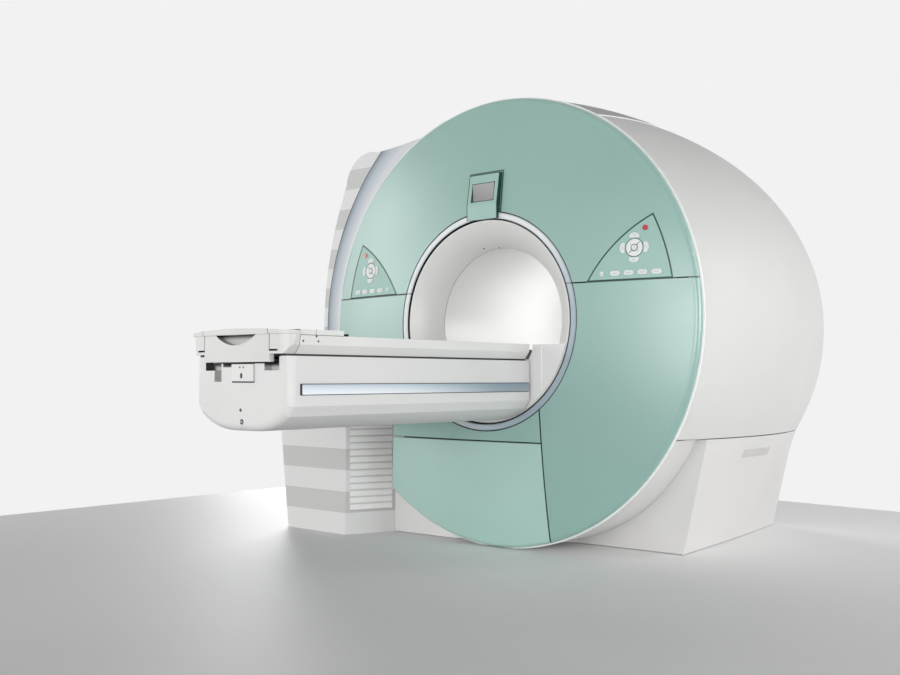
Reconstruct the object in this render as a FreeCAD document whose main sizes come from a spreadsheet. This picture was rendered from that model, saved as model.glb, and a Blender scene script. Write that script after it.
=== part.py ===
import FreeCAD, Part
import math
import os
import re

import Sketcher
from FreeCAD import Matrix, Placement, Rotation, Vector

# An MRI scanner with its patient table. The origin lies on the floor under the isocentre, +Y runs
# along the bore to the rear, +X is the right-hand side of someone who faces the front, and +Z is up.
# Lengths are in mm and angles in degrees.
SIZES = [
    ("bore_axis_z", 1055, "height of the bore axis over the floor"),
    ("half_depth", 840, "ring plane at the front to the isocentre"),
    ("seat_gap", 0.3, "clearance where one piece is seated on another"),
    # front cover and its openings
    ("disc_radius", 1050, "outer radius of the front cover"),
    ("dome_drop", 80, "how far the dome falls back towards its rim"),
    ("dome_crown", 5600, "radius of the dome's section"),
    ("lip_radius", 22, "radius of the rolled lip round the front cover"),
    ("rim_depth", 110, "ring plane to the rear edge of the front cover"),
    ("cover_wall", 8, "wall of the moulded covers"),
    ("seam_gap", 4, "gap between two covers"),
    ("seam_z", 1205, "height of the level seam across the front"),
    ("split_x", 310, "upright seam between the lower front covers"),
    ("door_top_z", 500, "top of the service door"),
    ("notch_top_z", 960, "top of the cut-out for the lift column"),
    ("notch_knee_z", 620, "height where the cut-out's edge starts to slope"),
    ("notch_foot_z", 235, "height where the cut-out's edge stands upright again"),
    ("notch_high_x", 590, "edge of the cut-out behind the table"),
    ("notch_low_x", 655, "edge of the cut-out near the floor"),
    # bore
    ("bore_radius", 350, "inner radius of the patient tube"),
    ("tube_wall", 6, "wall of the patient tube and funnels"),
    ("funnel_depth", 132, "ring plane to the start of the straight tube"),
    ("funnel_arc", 260, "radius of the funnel's flare"),
    ("mouth_radius", 464, "inner radius of the funnel's mouth"),
    ("mouth_lip", 5, "thickness of the funnel's lip"),
    ("mouth_inset", 6, "ring plane to the funnel's lip"),
    ("ring_inner_radius", 477, "inner radius of the ring trim"),
    ("ring_outer_radius", 508, "outer radius of the ring trim"),
    ("ring_proud", 3, "how far the ring trim stands out of the ring plane"),
    ("ring_bevel", 6, "bevel of the ring trim"),
    ("ring_depth", 14, "ring plane to the rear of the ring trim"),
    ("flange_thickness", 6, "flange that carries the ring trim"),
    ("coil_length", 1040, "length of the body coil on the tube"),
    ("coil_thickness", 20, "radial thickness of the body coil"),
    # magnet
    ("vessel_inset", 120, "front cover's edge to the outside of the vacuum vessel"),
    ("vessel_length", 1120, "length of the vacuum vessel"),
    ("vessel_round", 60, "rounding of the vessel's end corners"),
    ("warm_bore_radius", 450, "inner radius of the vacuum vessel"),
    ("gradient_inner_radius", 385, "inner radius of the gradient coil"),
    ("gradient_length", 1080, "length of the gradient coil"),
    ("foot_inner_x", 400, "inner side of a foot's saddle"),
    ("foot_outer_x", 620, "outer side of a foot's saddle"),
    ("foot_length", 740, "length of a foot along the bore"),
    ("foot_plate", 20, "thickness of a foot's floor plate"),
    ("foot_flange", 40, "how far the floor plate reaches past the saddle"),
    ("anchor_x", 640, "floor anchors to the middle plane"),
    ("anchor_y", 320, "floor anchors to the isocentre"),
    ("anchor_radius", 9, "radius of an anchor hole"),
    ("cold_head_y", 180, "cold head behind the isocentre"),
    # frames that carry the covers
    ("rim_thickness", 13.7, "thickness of the white rim behind the front cover"),
    ("rim_proud", 7, "how far the white rim stands outside the front cover"),
    ("frame_plate", 20, "thickness of a cover frame"),
    ("collar_inner_radius", 490, "inner radius of a frame's collar"),
    ("collar_outer_radius", 505, "outer radius of a frame's collar"),
    ("leg_radius", 15, "radius of a frame's legs"),
    ("leg_circle", 800, "radius of the circle that the legs stand on"),
    # body covers
    ("body_step", 2, "how far the body covers stand outside the front cover"),
    ("body_taper", 65, "how much smaller the body covers are at the rear"),
    ("body_rear_y", 760, "isocentre to the rear edge of the body covers"),
    ("top_arc", 3850, "radius of the top cover's lengthwise bulge"),
    ("side_arc", 2220, "radius of the side cover's lengthwise bulge"),
    ("crease_angle", 59.5, "crease between side and top cover, up from level"),
    ("top_end_angle", 121, "far edge of the top cover, up from level"),
    ("base_top_z", 530, "seam between the side cover and the plinth"),
    ("floor_gap", 3, "covers to the floor"),
    ("rear_round", 80, "rounding of the rear cover's edge"),
    ("rear_opening_radius", 478, "opening of the rear cover"),
    # plinth
    ("base_front_y", -394, "front of the plinth at the floor"),
    ("base_front_top_y", -530, "front of the plinth at its seam"),
    ("base_corner_x", 777, "front right corner of the plinth at the floor"),
    ("base_rear_x", 672, "rear right corner of the plinth at the floor"),
    ("base_rear_y", 832, "rear of the plinth"),
    ("base_left_x", -725, "left side of the plinth"),
    ("base_step_x", -336, "where the plinth's front steps forward on the left"),
    ("base_step_y", -660, "front of the plinth's left part"),
    ("base_bend_x", 224, "where the plinth's front comes out from under the drum"),
    ("vent_low_y", -215, "front end of the vent grille"),
    ("vent_length", 315, "length of the vent grille"),
    ("vent_low_z", 424, "bottom of the vent grille"),
    ("vent_height", 52, "height of the vent grille"),
    ("vent_slots", 14, "slots in the vent grille"),
    # left housing and the band in front of it
    ("housing_front_y", -570, "front wall of the left housing"),
    ("housing_rear_y", 752, "rear wall of the left housing"),
    ("housing_foot_x", -1293, "left side of the housing at the floor"),
    ("housing_wall_x", -1356, "left side of the housing above the plinth line"),
    ("housing_bend_z", 1050, "height where the housing's side starts to curve in"),
    ("housing_side_arc", 1900, "radius of the housing's upper side"),
    ("shoulder_x", -1180, "start of the housing's shoulder, across"),
    ("shoulder_z", 1860, "start of the housing's shoulder, up"),
    ("shoulder_arc", 180, "radius of the housing's shoulder"),
    ("housing_top_x", -950, "end of the housing's shoulder, across"),
    ("housing_top_z", 2018, "top of the left housing"),
    ("band_width", 278, "front cover's edge to the outside of the blue-grey band"),
    ("band_arc", 700, "hollow of the blue-grey band"),
    ("band_low_z", 935, "lower end of the blue-grey band"),
    # lift column
    ("column_front_left_y", -885, "column's front left corner, along the bore"),
    ("column_front_right_x", -834, "column's front right corner, across"),
    ("column_front_right_y", -911, "column's front right corner, along the bore"),
    ("column_rear_right_x", -728, "rear end of the column's slanted face, across"),
    ("column_rear_right_y", -652, "rear end of the column's slanted face, along the bore"),
    ("column_top_z", 930, "top of the lift column"),
    ("column_top_bevel", 26, "bevel round the column's top"),
    ("column_wall", 6, "wall of the lift column"),
    ("column_floor", 12, "floor plate of the lift column"),
    ("slot_front_margin", 22, "slot's front edge to the column's corner"),
    ("slot_rear_margin", 22, "slot's rear edge to the end of the slanted face"),
    ("slot_low_z", 118, "bottom of the column's slot"),
    ("slot_high_z", 904, "top of the column's slot"),
    ("backing_low_z", 300, "bottom of the plate that closes the cut-out"),
    # lift
    ("lift_travel", 400, "how far the table comes down"),
    ("arm_low_z", 600, "underside of the lift arm"),
    ("arm_height", 120, "height of the lift arm"),
    ("rail_clearance", 0.6, "running clearance of carriage and ram"),
    ("guide_width", 30, "width of a guide rail"),
    ("guide_left_x", -1140, "left guide rail"),
    ("guide_right_x", -960, "right guide rail"),
    ("guide_y", -755, "guide rails, along the bore"),
    ("carriage_left_x", -1190, "left end of the carriage"),
    ("carriage_right_x", -890, "right end of the carriage"),
    ("carriage_depth", 84, "depth of the carriage"),
    ("ram_x", -1250, "lift cylinder, across"),
    ("ram_radius", 20, "radius of the ram"),
    ("cylinder_radius", 36, "outer radius of the lift cylinder"),
    ("cylinder_top_z", 462, "top of the lift cylinder"),
    ("ram_head_z", 900, "top of the ram's head"),
    ("pleat_wall", 3, "wall of the ribbed covers"),
    ("pleat_bulge", 6, "how far a rib bulges"),
    ("lower_pleats", 14, "ribs below the arm"),
    ("upper_pleats", 15, "ribs above the arm"),
    # table
    ("hull_half_width", 262.5, "half width of the table hull"),
    ("hull_rear_y", -847, "rear end of the table hull"),
    ("hull_length", 1417, "length of the table hull"),
    ("hull_top_z", 868, "deck of the table hull"),
    ("hull_side_z", 691, "lower edge of the hull's side"),
    ("hull_chine_x", 238, "hull's chine, across"),
    ("hull_chine_z", 655, "hull's chine, up"),
    ("hull_keel_x", 60, "edge of the hull's flat bottom"),
    ("hull_keel_z", 600, "bottom of the hull"),
    ("hull_round", 28, "rounding of the hull's front end"),
    ("trough_half_width", 206, "half width of the trough in the hull's deck"),
    ("trough_floor_z", 843, "floor of the trough"),
    ("track_inner_x", 222, "inner side of a running track"),
    ("track_outer_x", 240, "outer side of a running track"),
    ("board_low_z", 876, "underside of the tabletop"),
    ("board_top_z", 942, "top edge of the tabletop"),
    ("board_half_top", 270, "half width of the tabletop at its top"),
    ("board_half_low", 243, "half width of the tabletop at its underside"),
    ("board_half_side", 266, "half width of the tabletop at the foot of its upright side"),
    ("board_side_z", 907, "foot of the tabletop's upright side"),
    ("board_rear_gap", 14, "rear end of the tabletop to the ring plane"),
    ("board_front_y", -2225, "front end of the tabletop"),
    ("dish_half_width", 222, "half width of the tabletop's dish"),
    ("dish_radius", 1800, "radius of the tabletop's dish"),
    ("block_inner_x", 204, "inner side of a rail block"),
    ("block_outer_x", 267, "outer side of a rail block"),
    ("block_length", 215, "length of a rail block"),
    ("block_top_z", 962, "top of a rail block"),
    ("cap_length", 70, "length of the end cap"),
    ("cap_bow", 7, "how far the end cap's front bows out"),
    ("cap_round", 54, "rounding of the end cap's front corners"),
    ("cap_low_z", 876.2, "underside of the end cap"),
    ("cap_rim_z", 946, "underside of the end cap's rim"),
    ("cap_rim_proud", 8, "how far the rim stands out"),
    ("cap_side_z", 957, "top of the end cap at its sides"),
    ("cap_crown", 11, "how far the end cap's top rises in the middle"),
    ("skirt_half_width", 182, "half width of the skirt that hangs from the end cap"),
    ("skirt_low_z", 848, "bottom of the skirt"),
    ("skirt_thickness", 20, "thickness of the skirt"),
    ("wing_slot_x", 222, "outer end of the slots beside the skirt"),
    ("wing_slot_z", 886, "bottom of the slots beside the skirt"),
    ("wing_slot_height", 6, "height of the slots beside the skirt"),
    ("cap_seam", 1.6, "width of the end cap's seams"),
    ("grip_half_width", 112, "half width of the crescent grip"),
    ("grip_arc", 184, "radius of the crescent's lower edge"),
    ("grip_depth", 22, "depth of the crescent grip"),
    ("channel_gap", 4, "tabletop to the sides of the bridge's channel"),
    ("bridge_half_width", 480, "half width of the bridge's blank"),
    ("bridge_inset", 2, "ring plane to the bridge's front"),
    ("strip_end_round", 12, "rounding of the rear end of the hull's strips"),
    ("strip_low_z", 730, "lower edge of the hull's strips"),
    ("strip_height", 41, "height of the hull's strips"),
    ("strip_thickness", 3, "thickness of the hull's strips"),
    ("strip_front_y", -2217, "front end of the hull's strips"),
    ("flange_front_y", -1240, "front end of the arm's flange on the hull"),
    ("flange_top_z", 856, "top of the arm's flange on the hull"),
    ("arm_rear_y", -862, "rear side of the arm in front of the covers"),
    ("dock_inner_x", 127, "inner side of a dock recess"),
    ("dock_low_z", 818, "bottom of the dock recesses"),
    ("dock_depth", 34, "depth of the dock recesses"),
    ("pin_slot_left_x", -154, "left side of the slot for the docking pin"),
    ("pin_slot_right_x", -113, "right side of the slot for the docking pin"),
    ("pin_slot_low_z", 777, "bottom of the slot for the docking pin"),
    ("cable_slot_left_x", -104, "left side of the slot for the docking cable"),
    ("cable_slot_low_z", 830, "bottom of the slot for the docking cable"),
    ("lock_left_x", -48, "left side of the lock block"),
    ("lock_width", 121, "width of the lock block"),
    ("lock_low_z", 779, "bottom of the lock block"),
    ("lock_top_z", 841, "top of the lock block"),
    ("lock_gap", 5, "gap round the lock block"),
    ("lock_proud", 6, "how far the lock block stands out"),
    # panels on the front cover
    ("panel_outer_radius", 951, "outer side of a control panel, from the bore axis"),
    ("panel_inner_x", 560, "inner corner of a control panel"),
    ("panel_apex_z", 1482, "upper corner of a control panel"),
    ("panel_inner_arc", 680, "radius of a control panel's inner side"),
    ("panel_gap", 2, "gap round a control panel"),
    ("panel_flange", 6, "how far a panel reaches behind the cover"),
    ("panel_flange_wall", 4, "thickness of a panel's flange"),
    ("pad_x", 772, "middle of the direction buttons, across"),
    ("pad_z", 1342, "middle of the direction buttons, up"),
    ("pad_reach", 53, "middle of a direction button to the pad's middle"),
    ("petal_width", 44, "width of a direction button"),
    ("petal_height", 22, "height of a direction button"),
    ("centre_radius", 12, "radius of the centre button"),
    ("stop_x", 818, "stop button, across"),
    ("stop_z", 1424, "stop button, up"),
    ("stop_radius", 12, "radius of the stop button"),
    ("row_first_x", 628, "first button of the lower row"),
    ("row_pitch", 61, "pitch of the lower row"),
    ("row_z", 1236, "height of the lower row"),
    ("round_radius", 10, "radius of the round button"),
    ("pill_width", 44, "width of a pill-shaped button"),
    ("pill_height", 21, "height of a pill-shaped button"),
    ("button_gap", 0.5, "clearance round a button"),
    ("button_proud", 3, "how far a button stands out of its panel"),
    ("button_flange", 2, "how far a button's flange reaches past its cap"),
    ("button_flange_wall", 3, "thickness of a button's flange"),
    ("display_width", 177, "width of the display"),
    ("display_low_z", 1528, "bottom of the display"),
    ("display_top_z", 1744, "top of the display"),
    ("display_proud", 18, "how far the display stands out at its bottom"),
    ("display_back", 32, "ring plane to the back of the display"),
    ("screen_width", 126, "width of the screen"),
    ("screen_height", 82, "height of the screen"),
    ("screen_low_z", 1615, "bottom of the screen"),
    ("screen_thickness", 4, "thickness of the screen"),
]
NAMES = {name for name, value, note in SIZES}

doc = FreeCAD.newDocument("mri_scanner")
sheet = doc.addObject("Spreadsheet::Sheet", "Sizes")
for row, (name, value, note) in enumerate(SIZES, 1):
    sheet.set(f"A{row}", note)
    sheet.set(f"B{row}", str(value))
    sheet.setAlias(f"B{row}", name)
doc.recompute()

# Radii that follow the front cover's.
FRONT_RADIUS = "(disc_radius + body_step)"
REAR_RADIUS = "(disc_radius - body_taper)"
RIM_RADIUS = "(disc_radius + rim_proud)"
VESSEL_RADIUS = "(disc_radius - vessel_inset)"
BAND_RADIUS = "(disc_radius + band_width)"

PLANES = {
    "XY": Rotation(),
    "XZ": Rotation(Vector(1, 0, 0), 90),
    "YZ": Rotation(Vector(1, 1, 1), 120),
}
NORMALS = {"XY": Vector(0, 0, 1), "XZ": Vector(0, 1, 0), "YZ": Vector(1, 0, 0)}
AXES = {"XY": "z", "XZ": "y", "YZ": "x"}
HALF_TURN = "half turn"
nodes = []


def cells(formula):
    """Point each size named in a formula at its cell in the sheet."""
    return re.sub(r"[a-z]\w*", lambda word: ("Sizes." if word.group() in NAMES else "") + word.group(),
                  str(formula))


def num(formula):
    """The value of a formula."""
    result = sheet.evalExpression(cells(formula))
    return float(getattr(result, "Value", result))


def bind(item, **formulas):
    """Tie properties to formulas. Two underscores in a property's name stand for a dot."""
    for key, formula in formulas.items():
        item.setExpression(key.replace("__", "."), cells(formula))


def node(item, name):
    """Make an object one of the scanner's pieces."""
    item.Label = name
    nodes.append(item)
    return item


def arc_middle(start, end, radius):
    """The middle of an arc. It bulges to the left of the way from start to end, or to the right
    where the radius is negative."""
    chord = end - start
    left = Vector(-chord.y, chord.x, 0).normalize()
    half = chord.Length / 2
    rise = abs(radius) - math.sqrt(max(radius * radius - half * half, 0))
    return (start + end) * 0.5 + left * math.copysign(rise, radius)


def outline(sketch, corners, arcs=None):
    """Close a sketch through corners, each a pair of formulas, fixed from the sketch's origin. arcs
    maps a side's number to the formula of its radius, signed as in arc_middle, or to HALF_TURN for a
    half circle to the right on a level or upright side."""
    arcs = arcs or {}
    points = [Vector(num(x), num(y), 0) for x, y in corners]
    ends = []
    for side, start in enumerate(points):
        end = points[(side + 1) % len(points)]
        if side in arcs:
            radius = -(end - start).Length / 2 if arcs[side] == HALF_TURN else num(arcs[side])
            curve = Part.Arc(start, arc_middle(start, end, radius), end)
        else:
            curve = Part.LineSegment(start, end)
        index = sketch.addGeometry(curve, False)
        begins = 1 if sketch.getPoint(index, 1).isEqual(start, 1e-5) else 2
        ends.append((index, begins, 3 - begins))
    for side, corner in enumerate(corners):
        index, begins, stops = ends[side]
        before, _, before_stops = ends[side - 1]
        sketch.addConstraint(Sketcher.Constraint("Coincident", before, before_stops, index, begins))
        for kind, formula in zip(("DistanceX", "DistanceY"), corner):
            rule = sketch.addConstraint(
                Sketcher.Constraint(kind, -1, 1, index, begins, num(formula)))
            sketch.setExpression(f"Constraints[{rule}]", cells(formula))
        if arcs.get(side) == HALF_TURN:
            level = abs(points[(side + 1) % len(points)].y - points[side].y) < 1e-6
            kind, formula = ("DistanceY", corner[1]) if level else ("DistanceX", corner[0])
            rule = sketch.addConstraint(Sketcher.Constraint(kind, -1, 1, index, 3, num(formula)))
            sketch.setExpression(f"Constraints[{rule}]", cells(formula))
        elif side in arcs:
            rule = sketch.addConstraint(Sketcher.Constraint("Radius", index, abs(num(arcs[side]))))
            sketch.setExpression(f"Constraints[{rule}]", cells(f"abs({arcs[side]})"))


def flat_sketch(name, plane, corners, arcs=None, **places):
    """A sketch parallel to a base plane."""
    sketch = doc.addObject("Sketcher::SketchObject", name)
    sketch.Placement = Placement(Vector(), PLANES[plane])
    bind(sketch, **places)
    outline(sketch, corners, arcs)
    return sketch


def turned(name, corners, arcs=None, from_y="-half_depth"):
    """A ring turned about the bore axis. Each corner is a distance behind from_y and a radius."""
    sketch = flat_sketch(name + "_outline", "YZ", corners, arcs,
                         Placement__Base__y=from_y, Placement__Base__z="bore_axis_z")
    ring = doc.addObject("Part::Revolution", name)
    ring.Source = sketch
    ring.Axis = Vector(0, 1, 0)
    ring.Angle = 360
    ring.Solid = True
    bind(ring, Base__z="bore_axis_z")
    return ring


def extruded(name, sketch, normal, length):
    """A sketch or a flat shape drawn out along a direction."""
    solid = doc.addObject("Part::Extrusion", name)
    solid.Base = sketch
    solid.DirMode = "Custom"
    solid.Dir = normal
    solid.Solid = True
    bind(solid, LengthFwd=length)
    return solid


def prism(name, plane, corners, arcs=None, start="0", length="0"):
    """An outline in a base plane, drawn out from start over a length along the plane's normal."""
    place = {"Placement__Base__" + AXES[plane]: start}
    sketch = flat_sketch(name + "_outline", plane, corners, arcs, **place)
    return extruded(name, sketch, NORMALS[plane], length)


def rectangle(left, low, right, high):
    """The corners of a rectangle from the formulas of its sides."""
    return [(left, low), (right, low), (right, high), (left, high)]


def box(name, low, high):
    """A block between two corners given as formulas."""
    block = doc.addObject("Part::Box", name)
    bind(block, Length=f"{high[0]} - ({low[0]})", Width=f"{high[1]} - ({low[1]})",
         Height=f"{high[2]} - ({low[2]})",
         Placement__Base__x=low[0], Placement__Base__y=low[1], Placement__Base__z=low[2])
    return block


def rod(name, radius, place, length, turn=None):
    """A cylinder from a point, upwards unless it is turned."""
    bar = doc.addObject("Part::Cylinder", name)
    bar.Placement = Placement(Vector(), turn or Rotation())
    bind(bar, Radius=radius, Height=length,
         Placement__Base__x=place[0], Placement__Base__y=place[1], Placement__Base__z=place[2])
    return bar


ALONG_BORE = Rotation(Vector(1, 0, 0), -90)


def fused(name, *items):
    """Several objects as one solid."""
    whole = doc.addObject("Part::MultiFuse", name)
    whole.Shapes = list(items)
    return whole


def common(name, *items):
    """What several objects share."""
    whole = doc.addObject("Part::MultiCommon", name)
    whole.Shapes = list(items)
    return whole


def cut(name, base, *tools):
    """An object less one or more tools."""
    whole = doc.addObject("Part::Cut", name)
    whole.Base = base
    whole.Tool = tools[0] if len(tools) == 1 else fused(name + "_tools", *tools)
    return whole


def group(name, *items):
    """Like pieces that share one node."""
    whole = doc.addObject("Part::Compound", name)
    whole.Links = list(items)
    return whole


def mirrored(name, source):
    """The mirror image of an object on the other side of the middle plane."""
    image = doc.addObject("Part::Mirroring", name)
    image.Source = source
    image.Normal = Vector(1, 0, 0)
    return image


def shaped(name, shape):
    """A piece whose form neither sketches nor primitives give."""
    item = doc.addObject("Part::Feature", name)
    item.Shape = shape
    return item


def body_sketch(body, name, plane, corners, arcs=None, offset="0"):
    """A sketch on one of a body's base planes, moved along the plane's normal."""
    sketch = body.newObject("Sketcher::SketchObject", name)
    base = [item for item in body.Origin.OriginFeatures if item.Role == plane + "_Plane"]
    sketch.AttachmentSupport = [(base[0], "")]
    sketch.MapMode = "FlatFace"
    bind(sketch, AttachmentOffset__Base__z=offset)
    outline(sketch, corners, arcs)
    return sketch


def padded(body, name, sketch, length, back=False):
    """A pad on a body's sketch."""
    pad = body.newObject("PartDesign::Pad", name)
    pad.Profile = sketch
    pad.Reversed = back
    bind(pad, Length=length)
    return pad


def edges_where(shape, test):
    """The names of a shape's edges whose every vertex passes a test."""
    return [f"Edge{number}" for number, edge in enumerate(shape.Edges, 1)
            if all(test(vertex.Point) for vertex in edge.Vertexes)]


def disc_corners(radius):
    """A circle as two half turns, with its arcs."""
    return [(f"-({radius})", "0"), (radius, "0")], {0: HALF_TURN, 1: HALF_TURN}


# ---------------------------------------------------------------- front cover
# Four moulded covers share one dome with a rolled lip. Level and upright seams part them.
dome = turned("front_dome", [
    ("0", "ring_outer_radius + ring_proud"),
    ("dome_drop", "disc_radius - lip_radius"),
    ("dome_drop + lip_radius", "disc_radius"),
    ("rim_depth", "disc_radius"),
    ("rim_depth", "disc_radius - cover_wall"),
    ("dome_drop + lip_radius", "disc_radius - cover_wall"),
    ("dome_drop + cover_wall", "disc_radius - lip_radius"),
    ("cover_wall", "ring_outer_radius + ring_proud"),
], {0: "dome_crown", 1: "lip_radius", 5: "-(lip_radius - cover_wall)", 6: "-dome_crown"})
COVER_REACH = {"start": "-half_depth - 60", "length": "rim_depth + 120"}
OUTSIDE = "(disc_radius + 60)"
notch = prism("column_notch", "XZ", [
    (f"-{OUTSIDE}", "-60"),
    ("-notch_low_x", "-60"),
    ("-notch_low_x", "notch_foot_z"),
    ("-notch_high_x", "notch_knee_z"),
    ("-notch_high_x", "notch_top_z"),
    (f"-{OUTSIDE}", "notch_top_z"),
], start="-half_depth - 60", length="rim_depth + 160")


def panel_outline(name):
    """A control panel's three sides: level at the seam, round the disc, and a bowed inner side."""
    level = "seam_z + seam_gap / 2"
    corner = f"sqrt(panel_outer_radius ^ 2 - ({level} - bore_axis_z) ^ 2)"
    apex = "sqrt(panel_outer_radius ^ 2 - (panel_apex_z - bore_axis_z) ^ 2)"
    corners = [("panel_inner_x", level), (corner, level), (apex, "panel_apex_z")]
    return flat_sketch(name, "XZ", corners, {1: "-panel_outer_radius", 2: "-panel_inner_arc"},
                       Placement__Base__y="-half_depth - 60")


def grown(name, sketch, by):
    """A flat outline made larger or smaller all round, drawn out through the front cover."""
    ring = doc.addObject("Part::Offset2D", name + "_offset")
    ring.Source = sketch
    ring.Join = 2
    bind(ring, Value=by)
    return extruded(name, ring, NORMALS["XZ"], "rim_depth + 120")


panel_sketch = panel_outline("panel_outline")
panel_opening = extruded("panel_opening", panel_sketch, NORMALS["XZ"], "rim_depth + 120")
display_opening = box("display_opening",
                      ("-display_width / 2 - panel_gap", "-half_depth - 60",
                       "bore_axis_z + ring_outer_radius - 20"),
                      ("display_width / 2 + panel_gap", "-half_depth + rim_depth",
                       "display_top_z + panel_gap"))
upper_half = prism("upper_half", "XZ",
                   rectangle(f"-{OUTSIDE}", "seam_z + seam_gap / 2", OUTSIDE, "2 * bore_axis_z + 60"),
                   **COVER_REACH)
upper_blank = common("upper_blank", dome, upper_half)
node(cut("front_cover_top_cut", upper_blank, panel_opening,
         mirrored("panel_opening_left", panel_opening), display_opening), "front_cover_top")
right_part = prism("right_part", "XZ",
                   rectangle("split_x + seam_gap / 2", "-60", OUTSIDE, "seam_z - seam_gap / 2"),
                   **COVER_REACH)
node(common("front_cover_right_cut", dome, right_part), "front_cover_right")
left_part = prism("left_part", "XZ",
                  rectangle(f"-{OUTSIDE}", "door_top_z + seam_gap / 2", "split_x - seam_gap / 2",
                            "seam_z - seam_gap / 2"), **COVER_REACH)
node(cut("front_cover_left_cut", common("left_blank", dome, left_part), notch), "front_cover_left")
door_part = prism("door_part", "XZ",
                  rectangle(f"-{OUTSIDE}", "-60", "split_x - seam_gap / 2",
                            "door_top_z - seam_gap / 2"), **COVER_REACH)
node(cut("service_door_cut", common("door_blank", dome, door_part), notch), "service_door")

# ---------------------------------------------------------------- control panels
# Each insert follows the dome and has a flange that reaches behind the cover.
PANEL_BACK = "(cover_wall + seat_gap + panel_flange_wall)"


def dome_layer(name, front, back):
    """The dome's surface thickened between two depths behind it."""
    edge = "disc_radius - lip_radius"
    inner = "ring_outer_radius + ring_proud"
    return turned(name, [(front, inner), (f"dome_drop + {front}", edge), (f"dome_drop + {back}", edge),
                         (back, inner)], {0: "dome_crown", 2: "-dome_crown"})


panel_skin = common("panel_skin", dome_layer("panel_layer", "0", PANEL_BACK),
                    grown("panel_small", panel_sketch, "-panel_gap"))
flange_layer = dome_layer("flange_layer", "(cover_wall + seat_gap)", PANEL_BACK)
panel_rear = common("panel_rear", flange_layer, grown("panel_large", panel_sketch, "panel_flange"))
panel_blank = fused("panel_blank", panel_skin, panel_rear)


def arc_centre(start, end, radius):
    """The centre of an arc, signed as in arc_middle."""
    middle = arc_middle(start, end, radius)
    inward = ((start + end) * 0.5 - middle).normalize()
    return middle + inward * abs(radius)


DOME_START = Vector(0, num("ring_outer_radius + ring_proud"), 0)
DOME_END = Vector(num("dome_drop"), num("disc_radius - lip_radius"), 0)
DOME_CENTRE = arc_centre(DOME_START, DOME_END, num("dome_crown"))


def on_dome(x, z):
    """The point of the dome's front at a place across and up."""
    out = math.hypot(x, z - num("bore_axis_z"))
    back = DOME_CENTRE.x - math.sqrt(num("dome_crown") ** 2 - (out - DOME_CENTRE.y) ** 2)
    return Vector(x, back - num("half_depth"), z)


def panel_turn(side):
    """Turn local +Z to the outward normal of a control panel, side 1 on the right, -1 on the left."""
    x, z = side * num("pad_x"), num("pad_z")
    step = 1.0
    across = on_dome(x + step, z) - on_dome(x - step, z)
    upward = on_dome(x, z + step) - on_dome(x, z - step)
    normal = across.cross(upward).normalize()
    return Rotation(Vector(1, 0, 0), Vector(0, 0, 1), normal, "ZXY")


def petal_corners(grow):
    """A direction button: flat towards the pad and bowed outwards."""
    half = f"(petal_width / 2 + {grow})"
    low = f"-(petal_height / 2 + {grow})"
    rise = f"(petal_height / 2 + {grow})"
    bow = f"(({half} ^ 2 + {rise} ^ 2) / (2 * {rise}))"
    return [(f"-{half}", low), (half, low), (half, "0"), (f"-{half}", "0")], {2: f"-{bow}"}


def pill_corners(grow):
    """A pill-shaped button."""
    end = f"(pill_height / 2 + {grow})"
    half = "(pill_width / 2 - pill_height / 2)"
    corners = rectangle(f"-{half}", f"-{end}", half, end)
    return corners, {1: HALF_TURN, 3: HALF_TURN}


def round_corners(radius):
    """A round button of a given radius."""
    return lambda grow: disc_corners(f"({radius} + {grow})")


# Each button: its name, its outline, its place across and up, and its turn in the panel.
BUTTONS = [
    ("stop_button", round_corners("stop_radius"), "stop_x", "stop_z", 0),
    ("centre_button", round_corners("centre_radius"), "pad_x", "pad_z", 0),
    ("up_button", petal_corners, "pad_x", "pad_z + pad_reach", 0),
    ("inward_button", petal_corners, "pad_x - pad_reach", "pad_z", 90),
    ("down_button", petal_corners, "pad_x", "pad_z - pad_reach", 180),
    ("outward_button", petal_corners, "pad_x + pad_reach", "pad_z", -90),
    ("round_button", round_corners("round_radius"), "row_first_x", "row_z", 0),
] + [
    (f"row_button_{number}", pill_corners, f"row_first_x + {number} * row_pitch", "row_z", 0)
    for number in range(1, 5)
]


def button_body(name, corners_of, place, grow="0", deep="0"):
    """A button's cap with its flange behind the panel, or the hole that it runs in."""
    body = doc.addObject("PartDesign::Body", name)
    corners, arcs = corners_of(grow)
    hidden = f"({PANEL_BACK} + 2 * seat_gap + {deep})"
    cap = body_sketch(body, name + "_cap", "XY", corners, arcs, f"-{hidden}")
    padded(body, name + "_pad", cap, f"{hidden} + button_proud + {deep}")
    if deep == "0":
        corners, arcs = corners_of("button_flange")
        flange = body_sketch(body, name + "_flange", "XY", corners, arcs,
                             f"-{hidden} - button_flange_wall")
        padded(body, name + "_flange_pad", flange, "button_flange_wall")
    body.Placement = place
    return body


def button_place(side, x, z, turn):
    """Where a button stands on the dome. The left panel mirrors the right one."""
    spin = Rotation(Vector(0, 0, 1), side * turn)
    return Placement(on_dome(side * num(x), num(z)), panel_turn(side) * spin)


HOLE_DEEPER = "10"
button_holes = [
    button_body(name + "_hole", corners_of, button_place(1, x, z, turn), "button_gap", HOLE_DEEPER)
    for name, corners_of, x, z, turn in BUTTONS
]
panel = cut("panel_cut", panel_blank, *button_holes)
node(panel, "right_control_panel")
node(mirrored("panel_cut_left", panel), "left_control_panel")
for side, label in ((1, "right"), (-1, "left")):
    for name, corners_of, x, z, turn in BUTTONS:
        node(button_body(f"{label}_{name}_body", corners_of, button_place(side, x, z, turn)),
             f"{label}_{name}")

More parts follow.
